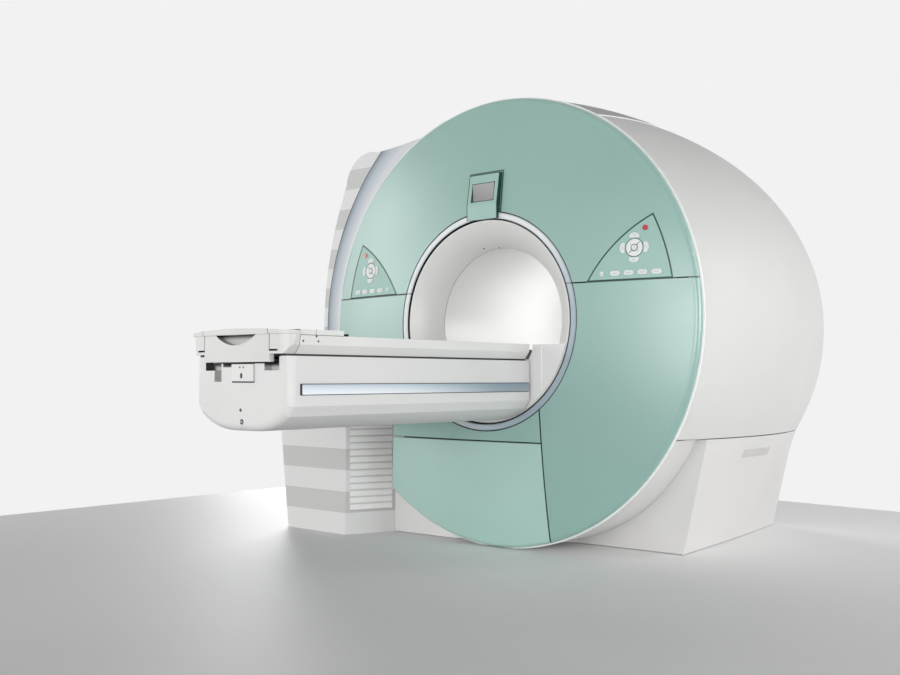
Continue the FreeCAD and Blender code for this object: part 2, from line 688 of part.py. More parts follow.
# ---------------------------------------------------------------- display
# A bezel over the ring's top, with its screen let into the front.
BEZEL_FRONT = "-half_depth - display_proud"
bezel_blank = prism("bezel_blank", "YZ", [
    (BEZEL_FRONT, "display_low_z"),
    ("-half_depth - ring_proud - seat_gap", "display_low_z"),
    ("-half_depth - ring_proud - seat_gap", "bore_axis_z + ring_outer_radius + ring_proud"),
    ("-half_depth + display_back", "bore_axis_z + ring_outer_radius + ring_proud"),
    ("-half_depth + display_back", "display_top_z"),
    ("-half_depth + 6", "display_top_z"),
    (BEZEL_FRONT, "screen_low_z - 20"),
], start="-display_width / 2", length="display_width")
screen_recess = box("screen_recess",
                    ("-screen_width / 2 - seat_gap", "-half_depth - 60", "screen_low_z - seat_gap"),
                    ("screen_width / 2 + seat_gap", "-half_depth", "screen_low_z + screen_height + seat_gap"))
bezel_reach = box("bezel_reach",
                  ("-display_width / 2 - panel_flange", "-half_depth - 60",
                   "bore_axis_z + ring_outer_radius + ring_proud"),
                  ("display_width / 2 + panel_flange", "half_depth", "display_top_z + panel_flange"))
bezel_flange = common("bezel_flange", flange_layer, bezel_reach)
node(cut("display_bezel_cut", fused("bezel_whole", bezel_blank, bezel_flange), screen_recess),
     "display_bezel")
node(box("display_screen_box",
         ("-screen_width / 2", "-half_depth - screen_thickness - seat_gap", "screen_low_z"),
         ("screen_width / 2", "-half_depth - seat_gap", "screen_low_z + screen_height")),
     "display_screen")

# ---------------------------------------------------------------- bore
# The ring trim sits on the funnel's flange, the funnel on the frame's collar, and the tube runs
# from funnel to funnel with the body coil round its middle.
ring = turned("ring_trim_blank", [
    ("ring_depth", "ring_outer_radius"),
    ("ring_depth", "ring_inner_radius"),
    ("ring_bevel - ring_proud", "ring_inner_radius"),
    ("-ring_proud", "ring_inner_radius + ring_bevel"),
    ("-ring_proud", "ring_outer_radius - ring_bevel"),
    ("ring_bevel - ring_proud", "ring_outer_radius"),
])
node(ring, "ring_trim")


def funnel(name, from_y, way, lip_at, flange_at):
    """A flared funnel with a flange. way is 1 at the front and -1 at the rear."""
    flange_back = f"({flange_at} + flange_thickness)"
    corners = [
        (lip_at, "mouth_radius"),
        ("funnel_depth", "bore_radius"),
        ("funnel_depth", "bore_radius + tube_wall"),
        (flange_back, "mouth_radius"),
        (flange_back, "collar_outer_radius"),
        (flange_at, "collar_outer_radius"),
        (flange_at, "mouth_radius + mouth_lip"),
        (lip_at, "mouth_radius + mouth_lip"),
    ]
    corners = [(f"{way} * ({x})", r) for x, r in corners]
    arcs = {0: f"{-way} * funnel_arc", 2: f"{way} * funnel_arc"}
    return turned(name, corners, arcs, from_y)


node(funnel("front_funnel_blank", "-half_depth", 1, "mouth_inset", "(ring_depth + seat_gap)"),
     "front_funnel")
node(funnel("rear_funnel_blank", "half_depth", -1, "seat_gap", "(cover_wall + seat_gap)"),
     "rear_funnel")
TUBE_END = "(half_depth - funnel_depth - seat_gap)"
tube = turned("bore_tube_blank", [
    (f"-{TUBE_END}", "bore_radius"),
    (TUBE_END, "bore_radius"),
    (TUBE_END, "bore_radius + tube_wall"),
    ("coil_length / 2", "bore_radius + tube_wall"),
    ("coil_length / 2", "bore_radius + tube_wall + coil_thickness"),
    ("-coil_length / 2", "bore_radius + tube_wall + coil_thickness"),
    ("-coil_length / 2", "bore_radius + tube_wall"),
    (f"-{TUBE_END}", "bore_radius + tube_wall"),
], from_y="0")
node(tube, "bore_tube")

# ---------------------------------------------------------------- magnet
VESSEL_END = "(vessel_length / 2)"
vessel = turned("vessel_blank", [
    (f"-{VESSEL_END}", "warm_bore_radius"),
    (VESSEL_END, "warm_bore_radius"),
    (VESSEL_END, f"{VESSEL_RADIUS} - vessel_round"),
    (f"{VESSEL_END} - vessel_round", VESSEL_RADIUS),
    (f"vessel_round - {VESSEL_END}", VESSEL_RADIUS),
    (f"-{VESSEL_END}", f"{VESSEL_RADIUS} - vessel_round"),
], {2: "-vessel_round", 4: "-vessel_round"}, from_y="0")
node(vessel, "magnet_vessel")
gradient = turned("gradient_blank", [
    ("-gradient_length / 2", "gradient_inner_radius"),
    ("gradient_length / 2", "gradient_inner_radius"),
    ("gradient_length / 2", "warm_bore_radius - seat_gap"),
    ("-gradient_length / 2", "warm_bore_radius - seat_gap"),
], from_y="0")
node(gradient, "gradient_coil")
vessel_room = rod("vessel_room", f"{VESSEL_RADIUS} + seat_gap", ("0", "-half_depth", "bore_axis_z"),
                  "2 * half_depth", ALONG_BORE)
saddle = box("foot_saddle", ("foot_inner_x", "-foot_length / 2", "foot_plate"),
             ("foot_outer_x", "foot_length / 2", "bore_axis_z / 2"))
plate = box("foot_plate_box", ("foot_inner_x - foot_flange", "-foot_length / 2", "0"),
            ("foot_outer_x + foot_flange", "foot_length / 2", "foot_plate"))
anchors = [
    rod(f"anchor_hole_{way}", "anchor_radius", ("anchor_x", f"{way} * anchor_y", "-foot_plate"),
        "3 * foot_plate") for way in (-1, 1)
]
foot = cut("right_foot", fused("foot_blank", saddle, plate), vessel_room, *anchors)
node(group("magnet_feet_group", foot, mirrored("left_foot", foot)), "magnet_feet")
head_sketch = flat_sketch("cold_head_outline", "YZ", [
    ("0", f"bore_axis_z + {VESSEL_RADIUS} - 40"),
    ("90", f"bore_axis_z + {VESSEL_RADIUS} - 40"),
    ("90", f"bore_axis_z + {VESSEL_RADIUS} + 24"),
    ("55", f"bore_axis_z + {VESSEL_RADIUS} + 24"),
    ("55", f"bore_axis_z + {VESSEL_RADIUS} + 70"),
    ("72", f"bore_axis_z + {VESSEL_RADIUS} + 70"),
    ("72", f"bore_axis_z + {VESSEL_RADIUS} + 120"),
    ("0", f"bore_axis_z + {VESSEL_RADIUS} + 120"),
], Placement__Base__y="cold_head_y")
head_blank = doc.addObject("Part::Revolution", "cold_head_blank")
head_blank.Source = head_sketch
head_blank.Axis = Vector(0, 0, 1)
head_blank.Angle = 360
head_blank.Solid = True
bind(head_blank, Base__y="cold_head_y")
node(cut("cold_head_cut", head_blank, vessel_room), "cold_head")

# ---------------------------------------------------------------- cover frames
# Each frame is a ring on eight legs that stand on the magnet, with a collar round the bore.
RIM_BACK = "(rim_depth + seat_gap + rim_thickness)"
rim_blank = turned("front_rim_blank", [
    ("rim_depth + seat_gap", "disc_radius - 50"),
    (RIM_BACK, "disc_radius - 50"),
    (RIM_BACK, RIM_RADIUS),
    ("rim_depth + seat_gap", RIM_RADIUS),
])
below_floor_gap = box("below_floor_gap", (f"-{RIM_RADIUS}", "-half_depth", "-bore_axis_z"),
                      (RIM_RADIUS, "half_depth", "floor_gap"))
node(cut("front_rim_cut", rim_blank, notch, below_floor_gap), "front_rim")
FRAME_FRONT = f"({RIM_BACK} + seat_gap)"
LEG_ANGLES = [0, 45, 90, 135, 180, 225, 270, 315]


def frame_legs(name, start_y, length):
    """Eight legs on a circle round the bore."""
    legs = [
        rod(f"{name}_leg_{angle}", "leg_radius",
            (f"leg_circle * cos({angle} deg)", start_y, f"bore_axis_z + leg_circle * sin({angle} deg)"),
            length, ALONG_BORE)
        for angle in LEG_ANGLES
    ]
    return legs


front_plate = turned("front_plate", [
    ("ring_depth + 2 * seat_gap + flange_thickness", "collar_inner_radius"),
    (f"{FRAME_FRONT} + frame_plate", "collar_inner_radius"),
    (f"{FRAME_FRONT} + frame_plate", f"{FRONT_RADIUS} - cover_wall - seat_gap"),
    (FRAME_FRONT, f"{FRONT_RADIUS} - cover_wall - seat_gap"),
    (FRAME_FRONT, "collar_outer_radius"),
    ("ring_depth + 2 * seat_gap + flange_thickness", "collar_outer_radius"),
])
FRONT_LEG_Y = f"-half_depth + {FRAME_FRONT} + frame_plate - 5"
front_legs = frame_legs("front", FRONT_LEG_Y, f"-vessel_length / 2 - seat_gap - ({FRONT_LEG_Y})")
node(cut("front_frame_cut", fused("front_frame_blank", front_plate, *front_legs), notch), "front_frame")
rear_plate = turned("rear_plate", [
    ("-(cover_wall + 2 * seat_gap + flange_thickness)", "collar_inner_radius"),
    (f"-({FRAME_FRONT} + frame_plate)", "collar_inner_radius"),
    (f"-({FRAME_FRONT} + frame_plate)", f"{REAR_RADIUS} - cover_wall - seat_gap"),
    (f"-{FRAME_FRONT}", f"{REAR_RADIUS} - cover_wall - seat_gap"),
    (f"-{FRAME_FRONT}", "collar_outer_radius"),
    ("-(cover_wall + 2 * seat_gap + flange_thickness)", "collar_outer_radius"),
], from_y="half_depth")
REAR_LEG_END = f"half_depth - ({FRAME_FRONT} + frame_plate) + 5"
rear_legs = frame_legs("rear", "vessel_length / 2 + seat_gap",
                       f"{REAR_LEG_END} - (vessel_length / 2 + seat_gap)")
node(fused("rear_frame_blank", rear_plate, *rear_legs), "rear_frame")

# ---------------------------------------------------------------- body covers
# The top cover is a turned barrel between two angles. The side cover bulges further and meets it
# at the crease.
BODY_START = f"({FRAME_FRONT})"
BODY_END = "(half_depth + body_rear_y)"


def barrel(name, outside, arc, wall):
    """A turned shell that bulges lengthwise. outside is added to its radius."""
    return turned(name, [
        (BODY_START, f"{FRONT_RADIUS} + {outside}"),
        (BODY_END, f"{REAR_RADIUS} + {outside}"),
        (BODY_END, f"{REAR_RADIUS} + {outside} - {wall}"),
        (BODY_START, f"{FRONT_RADIUS} + {outside} - {wall}"),
    ], {0: arc, 2: f"-({arc} - {wall})"})


SECTOR = "(1.4 * disc_radius)"
top_sector = prism("top_sector", "XZ", [
    ("0", "bore_axis_z"),
    (f"{SECTOR} * cos(crease_angle * 1 deg)", f"bore_axis_z + {SECTOR} * sin(crease_angle * 1 deg)"),
    (f"{SECTOR} * cos(top_end_angle * 1 deg)", f"bore_axis_z + {SECTOR} * sin(top_end_angle * 1 deg)"),
], start="-half_depth", length="2 * half_depth")
node(common("top_cover_cut", barrel("top_barrel", "0", "top_arc", "cover_wall"), top_sector),
     "top_cover")
BODY_FRONT_Y = num(f"-half_depth + {BODY_START}")
BODY_REAR_Y = num("body_rear_y")


def body_radius(y, arc):
    """The body's outer radius at a station along the bore, for a lengthwise bulge."""
    start = Vector(BODY_FRONT_Y, num(FRONT_RADIUS), 0)
    end = Vector(BODY_REAR_Y, num(REAR_RADIUS), 0)
    centre = arc_centre(start, end, num(arc))
    return centre.y + math.sqrt(num(arc) ** 2 - (y - centre.x) ** 2)


def seam_x(y, z):
    """Where the side cover's surface meets a level seam, across, at a station along the bore."""
    return math.sqrt(body_radius(y, "side_arc") ** 2 - (num("bore_axis_z") - z) ** 2)


def side_section(y):
    """The side cover's section at a station: an arc through seam, belt and crease, with its wall."""
    axis_z = num("bore_axis_z")
    low_z = num("base_top_z + seam_gap / 2")
    crease = math.radians(num("crease_angle")) - num("seam_gap") / num("disc_radius")
    top = body_radius(y, "top_arc")
    seam = Vector(seam_x(y, low_z), y, low_z)
    belt = Vector(body_radius(y, "side_arc"), y, axis_z)
    ridge = Vector(top * math.cos(crease), y, axis_z + top * math.sin(crease))
    outer = Part.Arc(seam, belt, ridge)
    centre = outer.toShape().Curve.Center

    def inside(point):
        return point + (centre - point).normalize() * num("cover_wall")

    inner = Part.Arc(inside(ridge), inside(belt), inside(seam))
    return Part.Wire([
        outer.toShape(),
        Part.LineSegment(ridge, inside(ridge)).toShape(),
        inner.toShape(),
        Part.LineSegment(inside(seam), seam).toShape(),
    ])


SIDE_STATIONS = 7
side_wires = [
    side_section(BODY_FRONT_Y + (BODY_REAR_Y - BODY_FRONT_Y) * step / (SIDE_STATIONS - 1))
    for step in range(SIDE_STATIONS)
]
node(shaped("right_side_cover_loft", Part.makeLoft(side_wires, True, False)), "right_side_cover")
rear_skin = turned("rear_cover_blank", [
    ("0", "rear_opening_radius"),
    ("0", f"{REAR_RADIUS} - rear_round"),
    ("seat_gap - rear_round", f"{REAR_RADIUS} - seat_gap"),
    ("seat_gap - rear_round", f"{REAR_RADIUS} - cover_wall"),
    ("-cover_wall", f"{REAR_RADIUS} - rear_round"),
    ("-cover_wall", "rear_opening_radius"),
], {1: "-rear_round", 3: "rear_round - cover_wall"}, from_y="half_depth")
node(rear_skin, "rear_cover")

# ---------------------------------------------------------------- plinth
# The plinth flares up to the body's seam. Its front part is a strip of the drum that follows the
# front cover down to the floor, and a grille is let into its side.


def base_level(z, front_y, corner_x, middle_x, rear_x):
    """The plinth's outline at one height, with a bowed right side."""
    left_x, step_x, step_y = num("base_left_x"), num("base_step_x"), num("base_step_y")
    rear_y, bend_x = num("base_rear_y"), num("base_bend_x")
    corner = Vector(corner_x, front_y, z)
    rear = Vector(rear_x, rear_y, z)
    middle = Vector(middle_x, (front_y + rear_y) / 2, z)
    path = [rear, Vector(left_x, rear_y, z), Vector(left_x, step_y, z), Vector(step_x, step_y, z),
            Vector(bend_x, front_y, z), corner]
    sides = [Part.LineSegment(a, b).toShape() for a, b in zip(path, path[1:])]
    return Part.Wire([Part.Arc(corner, middle, rear).toShape()] + sides)


BASE_BOW = 12
floor_z = num("floor_gap")
base_top = num("base_top_z - seam_gap / 2")
top_front_y = num("base_front_top_y")
base_rear_y = num("base_rear_y")
base_low = base_level(floor_z, num("base_front_y"), num("base_corner_x"),
                      (num("base_corner_x") + num("base_rear_x")) / 2 + BASE_BOW, num("base_rear_x"))
base_high = base_level(base_top, top_front_y, seam_x(top_front_y, base_top),
                       seam_x((top_front_y + base_rear_y) / 2, base_top), seam_x(base_rear_y, base_top))
wall = num("cover_wall")


def inset(wire, by):
    """A flat wire moved inwards."""
    return wire.makeOffset2D(-by, 2)


def along_bore(radius, start_y, end_y):
    """A cylinder round the bore axis between two stations."""
    foot_point = Vector(0, start_y, num("bore_axis_z"))
    return Part.makeCylinder(radius, end_y - start_y, foot_point, Vector(0, 1, 0))


pedestal = Part.makeLoft([base_low, base_high], True, True)
pedestal_room = Part.makeLoft([inset(base_low, wall), inset(base_high, wall)], True, True)
strip_end_y = num("base_front_y") + 14
strip_left_x = -num("notch_low_x") + 5
reach = num("4 * disc_radius")
strip_half = Part.makeBox(reach, reach, reach, Vector(strip_left_x, -reach / 2, -reach / 2))
drum = along_bore(num(RIM_RADIUS), BODY_FRONT_Y, strip_end_y).common(strip_half)
drum_room = along_bore(num(RIM_RADIUS) - wall, BODY_FRONT_Y, strip_end_y).common(strip_half)
body_room = along_bore(num(REAR_RADIUS) + 1, -num("vessel_length / 2 + 40"),
                       num("half_depth - rear_round"))
rear_edge = num(f"{REAR_RADIUS} + 1")
rear_corner = Vector(0, num("half_depth - rear_round"), num("bore_axis_z") - rear_edge + num("rear_round"))
rear_tangent = rear_corner - Vector(0, 0, num("rear_round"))
rear_middle = rear_corner + Vector(0, 1, -1).normalize() * num("rear_round")
rear_limit = rear_corner + Vector(0, num("rear_round"), 0)
rear_profile = Part.Face(Part.Wire([
    Part.Arc(rear_tangent, rear_middle, rear_limit).toShape(),
    Part.LineSegment(rear_limit, Vector(0, rear_limit.y, num("bore_axis_z"))).toShape(),
    Part.LineSegment(Vector(0, rear_limit.y, num("bore_axis_z")),
                     Vector(0, rear_tangent.y, num("bore_axis_z"))).toShape(),
    Part.LineSegment(Vector(0, rear_tangent.y, num("bore_axis_z")), rear_tangent).toShape(),
]))
rear_room = rear_profile.revolve(Vector(0, 0, num("bore_axis_z")), Vector(0, 1, 0), 360)
below_seam = Part.makeBox(reach, reach, base_top - floor_z,
                          Vector(-reach / 2, -reach / 2, floor_z))
base_shell = pedestal.fuse(drum).cut(pedestal_room.fuse(drum_room)).cut(body_room).cut(rear_room)
base_shell = base_shell.common(below_seam)
vent_low = Vector(0, num("vent_low_y"), num("vent_low_z"))
vent_length, vent_height = num("vent_length"), num("vent_height")
vent_box = Part.makeBox(reach, vent_length, vent_height, vent_low)
gap = num("seat_gap")
vent_plug = Part.makeBox(reach, vent_length - 2 * gap, vent_height - 2 * gap,
                         vent_low + Vector(0, gap, gap))
vent_slots = int(num("vent_slots"))
slot_pitch = vent_length / (vent_slots + 1)
SLOT_SHARE = 0.45
SLOT_MARGIN = 7
slots = [
    Part.makeBox(reach, slot_pitch * SLOT_SHARE, vent_height - 2 * SLOT_MARGIN,
                 vent_low + Vector(0, slot_pitch * (number + 1 - SLOT_SHARE / 2), SLOT_MARGIN))
    for number in range(vent_slots)
]
right_of_middle = Part.makeBox(reach, reach, reach, Vector(num("disc_radius / 2"), -reach / 2, 0))
vent_piece = base_shell.common(vent_plug).common(right_of_middle)
node(shaped("vent_grille_shape", vent_piece.cut(Part.makeCompound(slots))), "vent_grille")
node(shaped("base_cover_shape", base_shell.cut(vent_box.common(right_of_middle))), "base_cover")

# ---------------------------------------------------------------- left housing
# A drawn-out shell beside the drum, with the hollow blue-grey band in front of it.
housing_corners = [
    ("base_left_x - seat_gap * 10", "floor_gap"),
    ("base_left_x - seat_gap * 10", "bore_axis_z"),
    ("-collar_outer_radius", "housing_top_z"),
    ("housing_top_x", "housing_top_z"),
    ("shoulder_x", "shoulder_z"),
    ("housing_wall_x", "housing_bend_z"),
    ("housing_wall_x", "base_top_z"),
    ("housing_foot_x", "floor_gap"),
]
housing_arcs = {3: "-shoulder_arc", 4: "-housing_side_arc"}
housing_sketch = flat_sketch("housing_outline", "XZ", housing_corners, housing_arcs,
                             Placement__Base__y="housing_front_y")
housing_blank = extruded("housing_blank", housing_sketch, NORMALS["XZ"],
                         "housing_rear_y - housing_front_y")
housing_inner = doc.addObject("Part::Offset2D", "housing_inner")
housing_inner.Source = housing_sketch
housing_inner.Join = 2
bind(housing_inner, Value="-cover_wall")
housing_room = extruded("housing_room", housing_inner, NORMALS["XZ"],
                        "housing_rear_y - housing_front_y - 2 * cover_wall")
bind(housing_room, Placement__Base__y="cover_wall")
drum_envelope = turned("drum_envelope", [
    ("0", "0"),
    (BODY_START, "0"),
    (BODY_END, "0"),
    (BODY_END, f"{REAR_RADIUS} + seam_gap / 2"),
    (BODY_START, f"{FRONT_RADIUS} + seam_gap / 2"),
], {3: "-top_arc"})
band_room = rod("band_room", f"{BAND_RADIUS} - cover_wall",
                ("0", "housing_front_y - cover_wall", "bore_axis_z"), "2 * cover_wall + seat_gap",
                ALONG_BORE)
node(cut("left_housing_cut", housing_blank, housing_room, drum_envelope, band_room), "left_housing")
BAND_BACK = "(half_depth + housing_front_y - seat_gap)"
band = turned("band_blank", [
    (f"{FRAME_FRONT}", f"{RIM_RADIUS} + seat_gap"),
    (f"{FRAME_FRONT} + tube_wall", f"{RIM_RADIUS} + seat_gap"),
    (BAND_BACK, f"{BAND_RADIUS} - tube_wall"),
    (BAND_BACK, BAND_RADIUS),
], {1: "-band_arc", 3: "band_arc"})
band_reach = prism("band_reach", "XZ",
                   rectangle("-1.5 * disc_radius", "band_low_z", "-collar_outer_radius + 60",
                             "housing_top_z"), start="-half_depth", length="half_depth")
node(common("side_strip_cut", band, band_reach), "side_strip")

# ---------------------------------------------------------------- lift column
# A folded housing with a slanted face. The arm comes out of a slot in that face, and a backing
# plate closes the cut-out of the front cover beside it.


def column_level(z, left_x, inward=0.0):
    """The column's outline at one height, moved inwards where asked."""
    points = [
        Vector(left_x, num("column_front_left_y"), z),
        Vector(num("column_front_right_x"), num("column_front_right_y"), z),
        Vector(num("column_rear_right_x"), num("column_rear_right_y"), z),
        Vector(num("column_rear_right_x"), num("housing_front_y - seat_gap"), z),
        Vector(left_x, num("housing_front_y - seat_gap"), z),
    ]
    ring = Part.makePolygon(points + points[:1])
    return ring if inward == 0 else inset(ring, inward)


def column_solid(low_z, top_z, inward):
    """The column's flared solid with its bevelled top, moved inwards where asked."""
    foot_x, wall_x = num("housing_foot_x"), num("housing_wall_x")
    bend_z, bevel = num("base_top_z"), num("column_top_bevel")
    lean = (wall_x - foot_x) / bend_z
    levels = [(low_z, foot_x + lean * low_z, 0), (bend_z, wall_x, 0), (top_z - bevel, wall_x, 0),
              (top_z, wall_x, bevel)]
    wires = [column_level(z, x, inward + more) for z, x, more in levels]
    return Part.makeLoft(wires, True, True)


face_start = Vector(num("column_front_right_x"), num("column_front_right_y"), 0)
face_end = Vector(num("column_rear_right_x"), num("column_rear_right_y"), 0)
face_way = (face_end - face_start).normalize()
face_out = Vector(face_way.y, -face_way.x, 0)
slot_start = face_start + face_way * num("slot_front_margin")
slot_end = face_end - face_way * num("slot_rear_margin")
slot_low, slot_high = num("slot_low_z"), num("slot_high_z")
SLOT_REACH = 20


def upright(points, low_z, high_z):
    """A plan outline drawn up between two heights."""
    flat = [Vector(point.x, point.y, low_z) for point in points]
    return Part.Face(Part.makePolygon(flat + flat[:1])).extrude(Vector(0, 0, high_z - low_z))


column = column_solid(0, num("column_top_z"), 0)
column_room = column_solid(num("column_floor"), num("column_top_z - column_wall"), num("column_wall"))
slot = upright([slot_start - face_out * SLOT_REACH, slot_start + face_out * SLOT_REACH,
                slot_end + face_out * SLOT_REACH, slot_end - face_out * SLOT_REACH],
               slot_low, slot_high)
backing_y = num("base_step_y - column_wall - seat_gap")
backing = Part.makeBox(num("-notch_high_x - column_rear_right_x"), num("column_wall"),
                       num("column_top_z - backing_low_z"),
                       Vector(num("column_rear_right_x") - 4, backing_y, num("backing_low_z")))
node(shaped("lift_column_shape", column.cut(column_room).cut(slot).fuse(backing)), "lift_column")


def pleats(name, low, high, count):
    """A ribbed cover in the column's slot: one bowed rib, repeated upwards."""
    body = doc.addObject("PartDesign::Body", name)
    pitch = f"((({high}) - ({low})) / {count})"
    corners = [("0", "0"), ("0", pitch), ("-pleat_wall", pitch), ("-pleat_wall", "0")]
    bow = f"(({pitch} / 2) ^ 2 + pleat_bulge ^ 2) / (2 * pleat_bulge)"
    rib = body_sketch(body, name + "_rib", "XZ", corners, {0: f"-({bow})", 2: f"{bow}"})
    width = (slot_end - slot_start).Length - 2 * gap
    pad = body.newObject("PartDesign::Pad", name + "_pad")
    pad.Profile = rib
    pad.Reversed = True
    pad.Length = width
    doc.recompute()
    rows = body.newObject("PartDesign::LinearPattern", name + "_rows")
    rows.Originals = [pad]
    rows.Direction = (rib, ["V_Axis"])
    bind(rows, Occurrences=count, Length=f"{pitch} * ({count} - 1)")
    body.Tip = rows
    spin = Rotation(Vector(0, 0, 1), math.degrees(math.atan2(face_out.y, face_out.x)))
    origin = slot_start + face_way * gap - face_out * num("pleat_bulge / 2")
    body.Placement = Placement(Vector(origin.x, origin.y, num(low)), spin)
    return body


node(pleats("lower_bellows_body", "slot_low_z + seat_gap", "arm_low_z - seat_gap", "lower_pleats"),
     "lower_bellows")
node(pleats("upper_bellows_body", "arm_low_z + arm_height + seat_gap", "slot_high_z - seat_gap",
            "upper_pleats"), "upper_bellows")

# ---------------------------------------------------------------- lift
# Two guide rails and a cylinder stand on the column's floor. The carriage runs on the rails, and
# the arm carries the table hull from its side.
GUIDE_TOP = "(column_top_z - column_wall - seat_gap - column_top_bevel)"
guides = [
    box(f"guide_{label}", (f"{x} - guide_width / 2", "guide_y - guide_width / 2",
                           "column_floor + seat_gap"),
        (f"{x} + guide_width / 2", "guide_y + guide_width / 2", GUIDE_TOP))
    for label, x in (("left", "guide_left_x"), ("right", "guide_right_x"))
]
node(group("guide_rails_group", *guides), "guide_rails")
ram_hole = rod("ram_hole", "ram_radius + rail_clearance", ("ram_x", "guide_y", "2 * column_floor"),
               "cylinder_top_z")
barrel_tube = rod("cylinder_barrel", "cylinder_radius", ("ram_x", "guide_y", "column_floor + seat_gap"),
                  "cylinder_top_z - column_floor - seat_gap")
node(cut("lift_cylinder_cut", barrel_tube, ram_hole), "lift_cylinder")
carriage = box("carriage", ("carriage_left_x", "guide_y - carriage_depth / 2", "arm_low_z"),
               ("carriage_right_x", "guide_y + carriage_depth / 2", "arm_low_z + arm_height"))
RAM_HEAD = "(ram_head_z - 30)"
ram = rod("ram", "ram_radius", ("ram_x", "guide_y", "lift_travel + 2.5 * column_floor"),
          f"{RAM_HEAD} - lift_travel - 2.5 * column_floor")
ram_head = box("ram_head", ("ram_x - cylinder_radius", "guide_y - carriage_depth / 4", RAM_HEAD),
               ("carriage_left_x + 30", "guide_y + carriage_depth / 4", "ram_head_z"))
ram_post = box("ram_post", ("carriage_left_x", "guide_y - carriage_depth / 4",
                            "arm_low_z + arm_height - 5"),
               ("carriage_left_x + 30", "guide_y + carriage_depth / 4", "ram_head_z"))
arm_points = [
    Vector(num("carriage_right_x") - 10, num("guide_y") - 40, 0),
    face_start + face_way * 50,
    Vector(-470, -1140, 0),
    Vector(-num("hull_half_width") - 20, num("flange_front_y"), 0),
    Vector(-num("hull_half_width") - 20, num("arm_rear_y"), 0),
    Vector(-640, num("arm_rear_y"), 0),
    face_start + face_way * 235,
    Vector(num("carriage_right_x") - 10, num("guide_y") + 40, 0),
]
arm_low = num("arm_low_z")
arm_plate = shaped("arm_plate", upright(arm_points, arm_low, arm_low + num("arm_height")))
hull_flange = box("hull_flange", ("-hull_half_width - 24", "flange_front_y", "hull_side_z + 8"),
                  ("-hull_half_width", "arm_rear_y", "flange_top_z"))
guide_holes = [
    box(f"guide_hole_{label}", (f"{x} - guide_width / 2 - rail_clearance",
                                "guide_y - guide_width / 2 - rail_clearance", "arm_low_z - 10"),
        (f"{x} + guide_width / 2 + rail_clearance",
         "guide_y + guide_width / 2 + rail_clearance", "arm_low_z + arm_height + 10"))
    for label, x in (("left", "guide_left_x"), ("right", "guide_right_x"))
]
arm_blank = fused("arm_blank", carriage, ram, ram_head, ram_post, arm_plate, hull_flange)
node(cut("lift_arm_cut", arm_blank, *guide_holes), "lift_arm")

# ---------------------------------------------------------------- table hull
# A hull with sloping chines and a round belly. Its deck has a trough between two running tracks,
# and its front end has recesses for docking and the lock block.
TRACK_TOP = "(board_low_z - seat_gap)"


def ledges(deck, inner, floor):
    """The corners of a deck with a raised running track on each side of a trough, from right to
    left."""
    right = [("track_outer_x", deck), ("track_outer_x", TRACK_TOP), ("track_inner_x", TRACK_TOP),
             ("track_inner_x", deck), (inner, deck), (inner, floor)]
    return right + [(f"-{x}", z) for x, z in reversed(right)]


BELLY_RISE = "(hull_chine_z - hull_keel_z)"
BELLY_ARC = f"((hull_chine_x - hull_keel_x) ^ 2 + {BELLY_RISE} ^ 2) / (2 * {BELLY_RISE})"
hull = doc.addObject("PartDesign::Body", "table_hull_body")
hull_section = body_sketch(hull, "hull_section", "XZ", [
    ("-hull_half_width", "hull_side_z"),
    ("-hull_chine_x", "hull_chine_z"),
    ("-hull_keel_x", "hull_keel_z"),
    ("hull_keel_x", "hull_keel_z"),
    ("hull_chine_x", "hull_chine_z"),
    ("hull_half_width", "hull_side_z"),
    ("hull_half_width", "hull_top_z"),
] + ledges("hull_top_z", "trough_half_width", "trough_floor_z") + [
    ("-hull_half_width", "hull_top_z"),
], {1: f"-({BELLY_ARC})", 3: f"-({BELLY_ARC})"})
padded(hull, "hull_pad", hull_section, "hull_length")
bind(hull, Placement__Base__y="hull_rear_y")
doc.recompute()
front_at = num("hull_rear_y - hull_length")
rim_names = edges_where(hull.Shape, lambda point: abs(point.y - front_at) < 0.01
                        and (abs(point.x) > num("hull_half_width") - 1
                             or point.z < num("trough_floor_z") - 1))
hull_rounded = doc.addObject("Part::Fillet", "hull_rounded")
hull_rounded.Base = hull
hull_rounded.Edges = [(int(edge[4:]), num("hull_round"), num("hull_round")) for edge in rim_names]
HULL_FRONT = "(hull_rear_y - hull_length)"


def front_recess(name, left, low, right):
    """A pocket in the hull's front end that opens upwards into the trough."""
    return box(name, (left, f"{HULL_FRONT} - dock_depth", low),
               (right, f"{HULL_FRONT} + dock_depth", "trough_floor_z + 5"))


recesses = [
    front_recess("dock_recess_right", "dock_inner_x", "dock_low_z", "trough_half_width"),
    front_recess("dock_recess_left", "-trough_half_width", "dock_low_z", "-dock_inner_x - 14"),
    front_recess("pin_slot", "pin_slot_left_x", "pin_slot_low_z", "pin_slot_right_x"),
    front_recess("cable_slot", "cable_slot_left_x", "cable_slot_low_z", "lock_left_x - lock_gap / 2"),
    front_recess("lock_recess", "lock_left_x - lock_gap", "lock_low_z - lock_gap",
                 "lock_left_x + lock_width + lock_gap / 5"),
]
node(cut("table_hull_cut", hull_rounded, *recesses), "table_hull")
lock = box("lock_block_blank",
           ("lock_left_x", f"{HULL_FRONT} - lock_proud", "lock_low_z"),
           ("lock_left_x + lock_width", f"{HULL_FRONT} + dock_depth - seat_gap", "lock_top_z"))
node(lock, "lock_block")
STRIP_REAR = "(hull_rear_y - 3)"
strips = []
